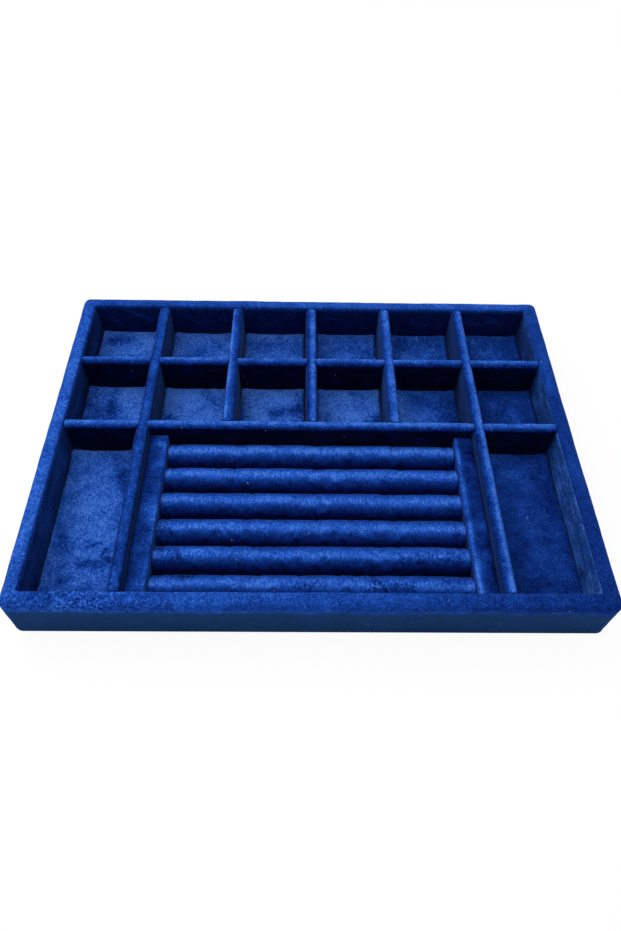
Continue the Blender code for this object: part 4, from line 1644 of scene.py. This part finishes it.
@dataclass
class RingHolder:
    """The drop-in ring holder: a card base, two covered rails and six padded rolls."""

    rolls: int = 6
    rail_edge: float = 0.0014
    end_draw: float = 0.0002
    end_reach: float = 0.0040
    end_places: tuple[float, ...] = (0.0, 0.0003, 0.0010, 0.0020)
    end_inner: float = 0.0032
    lip: float = 0.0003
    lip_reach: float = 0.0010
    core_ends: tuple[tuple[float, float], ...] = ((0.0, 0.86), (0.0006, 0.97), (0.0016, 1.0))
    core_inner: float = 0.0040
    core_rings: int = 60
    core_steps: int = 28
    rises: tuple[float, ...] = (0.0011, 0.0009, 0.0003, -0.0004, 0.0005, 0.0006)
    tilt: float = -0.0004
    puff: Puff = Puff(slack=0.015, reach=0.0004)
    # Painted sheen on the rolls: each roll's sheen raised or lowered, and the brightness by the surface's
    # angle from straight up, negative towards the back: bright on the top and back, dark on the front
    bright: tuple[float, ...] = (0.04, 0.02, 0.0, 0.0, -0.02, 0.01)
    sheen: tuple[tuple[float, float], ...] = (
        (-90, 0.22), (-55, 0.36), (-34, 0.54), (-18, 0.70), (-4, 0.82), (4, 0.82), (11, 0.74),
        (18, 0.60), (26, 0.46), (34, 0.37), (44, 0.28), (56, 0.19), (70, 0.11), (90, 0.04),
    )
    wave: float = 0.0002
    wave_length: float = 0.0640
    roll_steps: int = 44
    step: float = 0.0016

    def rail(self, side: str) -> bpy.types.Object:
        """A rail's velvet cover.

        Args:
            side: left or right.

        Returns:
            The cover.
        """
        node = f"insert_rail_{side}_velvet"
        low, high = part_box(node)
        finish = Velvet(f"{side}_rail_velvet", crush=0.14, tuft=0.16, offset=20.0 if side == "left" else 24.0)
        block = SoftBlock(low, high, corner=self.rail_edge, edge=self.rail_edge, foot=0.0002, open_below=True)
        piece = block.piece(f"{side}_rail_cover", finish.material())
        ruffle(piece, [Wave(0.018, 0.00018, 91), Wave(0.006, 0.00010, 92)])
        thicken(piece, VELVET)
        normals = read_points(piece, "normal")
        points = read_points(piece)
        mottle = Wave(0.012, 0.20, 95).at(points) + Wave(0.005, 0.12, 96).at(points)
        # Painted light across the rail's top: a painted highlight at the edge beside the rolls, and on the
        # left rail brighter towards the front
        front = eased(points[:, 1], high.y, low.y)
        across = (points[:, 0] - low.x) / (high.x - low.x)
        if side == "left":
            places, levels = (0.0, 0.15, 0.6, 0.85, 1.0), (0.26, 0.34, 0.40, 0.50, 0.64)
            crest = np.interp(across, places, levels) + 0.10 * front
        else:
            places, levels = (0.0, 0.13, 0.24, 0.34, 0.7, 1.0), (0.70, 0.72, 0.50, 0.38, 0.34, 0.27)
            crest = np.interp(across, places, levels)
        # Painted shade on the rail's sides by the way that they face, darker towards the foot
        depth = 1 - eased(points[:, 2], high.z - 0.0090, high.z - 0.0030)
        sides = FacingLight(0.48, 0.15, 0.45, 0.62, 0.50).at(points, normals) * (1 - 0.85 * depth)
        up = eased(normals[:, 2], 0.10, 0.70)
        store_pile_and_light(piece, sides * (1 - up) + (crest + mottle) * up, 0.0, 0.07)
        seat(piece, "ring_holder", "rail_velvet", node)
        return piece

    def ring(self, place: float, radius: float, flat: float, steps: int) -> np.ndarray:
        """A round section with a flat underside, at a place along a roll.

        Args:
            place: Its place across the holder.
            radius: Its radius.
            flat: How far below its middle the underside is.
            steps: How many steps go round it.

        Returns:
            One row for each point, measured from the roll's middle.
        """
        turn = math.asin(min(flat / radius, 1.0))
        angles = np.linspace(-turn, math.pi + turn, steps + 1)
        across, up = radius * np.cos(angles), radius * np.sin(angles)
        return np.column_stack([np.full(len(angles), place), across, up])

    def measure(self, node: str) -> tuple[float, float, float, np.ndarray]:
        """The sizes of a roll's solid.

        Args:
            node: The solid's name.

        Returns:
            Half its length, its radius, how far below its middle its underside is, and its middle.
        """
        low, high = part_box(node)
        radius = (high.y - low.y) / 2
        middle = np.array([0.0, (low.y + high.y) / 2, high.z - radius])
        return (high.x - low.x) / 2, radius, middle[2] - low.z, middle

    def roll(self, index: int) -> list[bpy.types.Object]:
        """A padded roll: its velvet cover and its foam core.

        Args:
            index: Its number, from the back.

        Returns:
            The cover and the core.
        """
        name = f"ring_roll_{index}"
        low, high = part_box(f"{name}_velvet")
        half, radius, flat, middle = self.measure(f"{name}_velvet")
        phase = 2 * math.pi * (index - 1) / self.rolls
        bore = radius - self.end_draw - self.wave - VELVET
        near = np.array(self.end_places)
        inner = self.end_inner
        body = np.linspace(inner - half, half - inner, round(2 * half / self.step))
        rings = []
        for x in np.concatenate([-half + near, body, half - near[::-1]]):
            to_end = (half - abs(x)) / self.end_reach
            drawn = self.end_draw * math.exp(-to_end * to_end)
            lip = self.lip * max(0.0, 1 - (half - abs(x)) / self.lip_reach) ** 2
            wave = self.wave * (1 + math.sin(2 * math.pi * x / self.wave_length + phase)) / 2
            rings.append(self.ring(x, radius - drawn - lip - wave, flat, self.roll_steps))
        visible = len(rings)
        rings += [self.ring(x, bore, flat - VELVET, self.roll_steps) for x in (half, -half)]
        points = np.array(rings)
        rows, columns = points.shape[:2]
        faces = grid_faces(rows, columns, True, True)
        finish = Velvet(f"{name}_velvet", pile=0.42, pile_run=(1.25, 0.45, 0.45), crush=0.04,
                        crush_size=0.013, streak=0.16, streak_run=(1.0, 0.25, 0.25), streak_size=0.0012,
                        offset=70.0 + 5.3 * index)
        cover = new_piece(f"{name}_cover", points.reshape(-1, 3) + middle, faces, finish.material())
        outer = np.repeat([1.0] * visible + [0.0] * (rows - visible), columns)
        level = read_points(cover)[:, 2]
        outer *= np.clip((level - low.z) / 0.003, 0.0, 1.0)
        self.puff.swell(cover, 1.0 - outer * eased(half - np.abs(read_points(cover)[:, 0]), 0.0, 0.0060))
        ruffle(cover, [Wave(0.030, 0.00022, 100 + index), Wave(0.008, 0.00008, 110 + index)], outer)
        points = read_points(cover)
        rise = self.rises[index - 1] + self.tilt * eased(points[:, 0], 0.0, high.x)
        points[:, 2] += rise * outer * eased(points[:, 2], middle[2], high.z)
        points[:, 1] = np.clip(points[:, 1], low.y, high.y)
        write_points(cover, points)
        self.paint_pile_and_light(cover, index)
        seat(cover, "ring_holder", "roll_velvet", f"{name}_velvet")
        return [cover, self.core(name)]

    def paint_pile_and_light(self, cover: bpy.types.Object, index: int) -> None:
        """Paint a roll's light: a painted sheen where it faces up and back, painted shade where it faces the
        front.

        Args:
            cover: The roll's cover.
            index: Its number, from the back.
        """
        points, normals = read_points(cover), read_points(cover, "normal")
        turn = np.degrees(np.arctan2(-normals[:, 1], normals[:, 2]))
        turn += Wave(0.030, 6.0, 120 + index).at(points) + Wave(0.0050, 3.5, 130 + index).at(points)
        angles, levels = zip(*self.sheen)
        level = np.interp(turn, angles, levels) + self.bright[index - 1]
        # Painted light near both ends, which lightens the shade that the rails cast there
        end = np.abs(points[:, 0]) / np.abs(points[:, 0]).max()
        level *= 1 + 0.22 * eased(end, 0.955, 1.0)
        low, high = Vector(points.min(axis=0)), Vector(points.max(axis=0))
        worn = smudged(points, low, high, (0, 1), self.worn(index))
        store_pile_and_light(cover, level + worn, 0.0, 0.05 + np.minimum(1.2 * np.abs(worn), 0.20))

    def worn(self, index: int) -> list[Smudge]:
        """Rubbed places on a roll.

        Args:
            index: The roll's number, from the back.

        Returns:
            The strokes.
        """
        if index == 4:
            return strokes((-0.97, 0.10, -0.92, -0.10, 0.0030, -0.20))
        if index == 5:
            return strokes(
                (-0.97, 0.30, -0.84, 0.00, 0.0035, -0.16), (-0.90, 0.55, -0.60, 0.50, 0.0020, 0.10),
                (0.55, -0.20, 0.92, 0.05, 0.0040, -0.12), (0.70, 0.45, 0.96, 0.50, 0.0020, 0.08))
        if index == 6:
            return strokes(
                (-0.95, 0.80, -0.75, 0.70, 0.0028, -0.20), (-0.10, 0.00, 0.06, -0.05, 0.0022, -0.18),
                (0.38, -0.05, 0.60, -0.12, 0.0026, -0.24), (-0.50, 0.30, -0.20, 0.20, 0.0040, 0.06),
                (0.78, 0.10, 0.95, 0.10, 0.0030, -0.08))
        return []

    def core(self, name: str) -> bpy.types.Object:
        """The foam core of a roll.

        Args:
            name: The roll's name.

        Returns:
            The core.
        """
        half, radius, flat, middle = self.measure(f"{name}_foam")
        ends = [(half - inset, share) for inset, share in self.core_ends]
        body = np.linspace(self.core_inner - half, half - self.core_inner, self.core_rings)
        places = [(-x, share) for x, share in ends] + [(x, 1.0) for x in body] + ends[::-1]
        rings = [self.ring(x, share * radius, share * flat, self.core_steps) for x, share in places]
        points = np.array(rings)
        rows, columns = points.shape[:2]
        faces = grid_faces(rows, columns, False, True)
        faces += [tuple(range(columns))[::-1], tuple(range((rows - 1) * columns, rows * columns))]
        finish = Foam(f"{name}_foam", shade(0xD8D4C4), shade(0xA9A392))
        core = new_piece(f"{name}_core", points.reshape(-1, 3) + middle, faces, finish.material())
        ruffle(core, [Wave(0.004, 0.00008, 3)])
        seat(core, "ring_holder", "roll_foam", f"{name}_foam")
        return core

    def build(self) -> list[bpy.types.Object]:
        """Make the holder's covers and cores, and dress its boards."""
        made = [self.rail("left"), self.rail("right")]
        for index in range(1, self.rolls + 1):
            made += self.roll(index)
        grey = Board("insert_greyboard", shade(0x8A867C), shade(0x6A665E)).material()
        names = ["insert_base_board", "insert_rail_left_board", "insert_rail_right_board"]
        return made + [dress(name, grey) for name in names]


def direct_rays(tree: bpy.types.NodeTree) -> bpy.types.NodeSocket:
    """1 for rays from the camera, off a mirror or through glass, and 0 for all others.

    Args:
        tree: The nodes that it is added to.

    Returns:
        The number's socket.
    """
    rays = tree.nodes.new("ShaderNodeLightPath").outputs
    direct = rays["Is Camera Ray"]
    for name in ("Is Glossy Ray", "Is Transmission Ray"):
        either = tree.nodes.new("ShaderNodeMath")
        either.operation = "MAXIMUM"
        tree.links.new(direct, either.inputs[0])
        tree.links.new(rays[name], either.inputs[1])
        direct = either.outputs[0]
    return direct


@dataclass
class Studio:
    """The pale floor, the soft light and the camera."""

    lens: float = 26.2122
    sensor: float = 36.0
    eye: Triple = (-0.0083249, -0.2931781, 0.3870523)
    turn: Triple = (36.6353, -1.0568, -0.1874)
    floor_half: float = 6.0
    floor_lap: float = 0.003
    floor_glow: float = 0.93
    glow_near: float = 0.35
    glow_far: float = 1.50
    sky: float = 0.78
    key_watts: float = 12.5
    fill_watts: float = 3.1

    def camera(self) -> None:
        """Stand the camera where the photograph was taken."""
        data = bpy.data.cameras.new("camera")
        data.lens = self.lens
        data.sensor_width = self.sensor
        data.clip_start = 0.01
        data.clip_end = 50.0
        camera = bpy.data.objects.new("camera", data)
        camera.location = self.eye
        camera.rotation_euler = [math.radians(angle) for angle in self.turn]
        bpy.context.scene.collection.objects.link(camera)
        bpy.context.scene.camera = camera

    def world(self) -> None:
        """An even sky, white where the camera looks at it."""
        world = bpy.data.worlds.new("sky")
        bpy.context.scene.world = world
        world.use_nodes = True
        nodes, links = world.node_tree.nodes, world.node_tree.links
        strength = nodes.new("ShaderNodeMapRange")
        strength.inputs["To Min"].default_value = self.sky
        strength.inputs["To Max"].default_value = 1.0
        links.new(direct_rays(world.node_tree), strength.inputs["Value"])
        background = nodes["Background"]
        background.inputs["Color"].default_value = (1.0, 1.0, 1.0, 1.0)
        links.new(strength.outputs["Result"], background.inputs["Strength"])

    def floor(self) -> None:
        """A pale floor that keeps the tray's shadow, clear from below and open under the tray."""
        half = self.floor_half
        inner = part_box("outer_velvet_wrap")[1] - Vector((self.floor_lap, self.floor_lap, 0.0))
        corners = ((-1, -1), (1, -1), (1, 1), (-1, 1))
        points = np.array([(x * half, y * half, 0.0) for x, y in corners] +
                          [(x * inner.x, y * inner.y, 0.0) for x, y in corners])
        faces = [(side, (side + 1) % 4, (side + 1) % 4 + 4, side + 4) for side in range(4)]
        graph = Graph("pale_floor")
        nodes, links = graph.tree.nodes, graph.tree.links
        graph.surface(Base_Color=(0.90, 0.90, 0.90, 1.0), Roughness=1.0, Specular_IOR_Level=0.0)
        glow = graph.node("ShaderNodeEmission", Color=(1.0, 1.0, 1.0, 1.0), Strength=1.0)
        away = graph.node("ShaderNodeVectorMath", Vector=graph.place)
        away.operation = "LENGTH"
        far = graph.window(away.outputs["Value"], self.glow_near, self.glow_far)
        white = graph.maths("MULTIPLY_ADD", far, 1 - self.floor_glow, self.floor_glow)
        share = graph.maths("MULTIPLY", direct_rays(graph.tree), white)
        seen = graph.node("ShaderNodeMixShader", Fac=share)
        links.new(graph.shader.outputs["BSDF"], seen.inputs[1])
        links.new(glow.outputs["Emission"], seen.inputs[2])
        clear = nodes.new("ShaderNodeBsdfTransparent")
        below = nodes.new("ShaderNodeNewGeometry")
        result = graph.node("ShaderNodeMixShader", Fac=below.outputs["Backfacing"])
        links.new(seen.outputs["Shader"], result.inputs[1])
        links.new(clear.outputs["BSDF"], result.inputs[2])
        links.new(result.outputs["Shader"], nodes["Material Output"].inputs["Surface"])
        new_piece("floor", points, faces, graph.material)

    def lamp(self, name: str, place: Triple, width: float, watts: float) -> None:
        """A soft square lamp that points at the tray.

        Args:
            name: Its name.
            place: Where it hangs.
            width: Its width.
            watts: Its power.
        """
        data = bpy.data.lights.new(name, "AREA")
        data.shape = "SQUARE"
        data.size = width
        data.energy = watts
        lamp = bpy.data.objects.new(name, data)
        lamp.location = place
        lamp.rotation_euler = (-Vector(place)).to_track_quat("-Z", "Y").to_euler()
        bpy.context.scene.collection.objects.link(lamp)

    def build(self) -> None:
        """Set up the camera, the floor and the light."""
        scene = bpy.context.scene
        scene.view_settings.view_transform = "Standard"
        self.camera()
        self.world()
        self.floor()
        self.lamp("key_lamp", (-0.85, 0.60, 1.10), 0.9, self.key_watts)
        self.lamp("top_lamp", (0.10, -0.10, 1.60), 1.2, self.fill_watts)


def main() -> None:
    """Build the organizer and its studio."""
    logging.basicConfig(level=logging.INFO, format="%(message)s")
    Studio().build()
    for part in (TrayShell(), EggCrate(), FloorCards(), RingHolder()):
        for piece in part.build():
            LOG.info("%s: %s, %d faces", type(part).__name__, piece.name, len(piece.data.polygons))


if __name__ == "__main__":
    main()
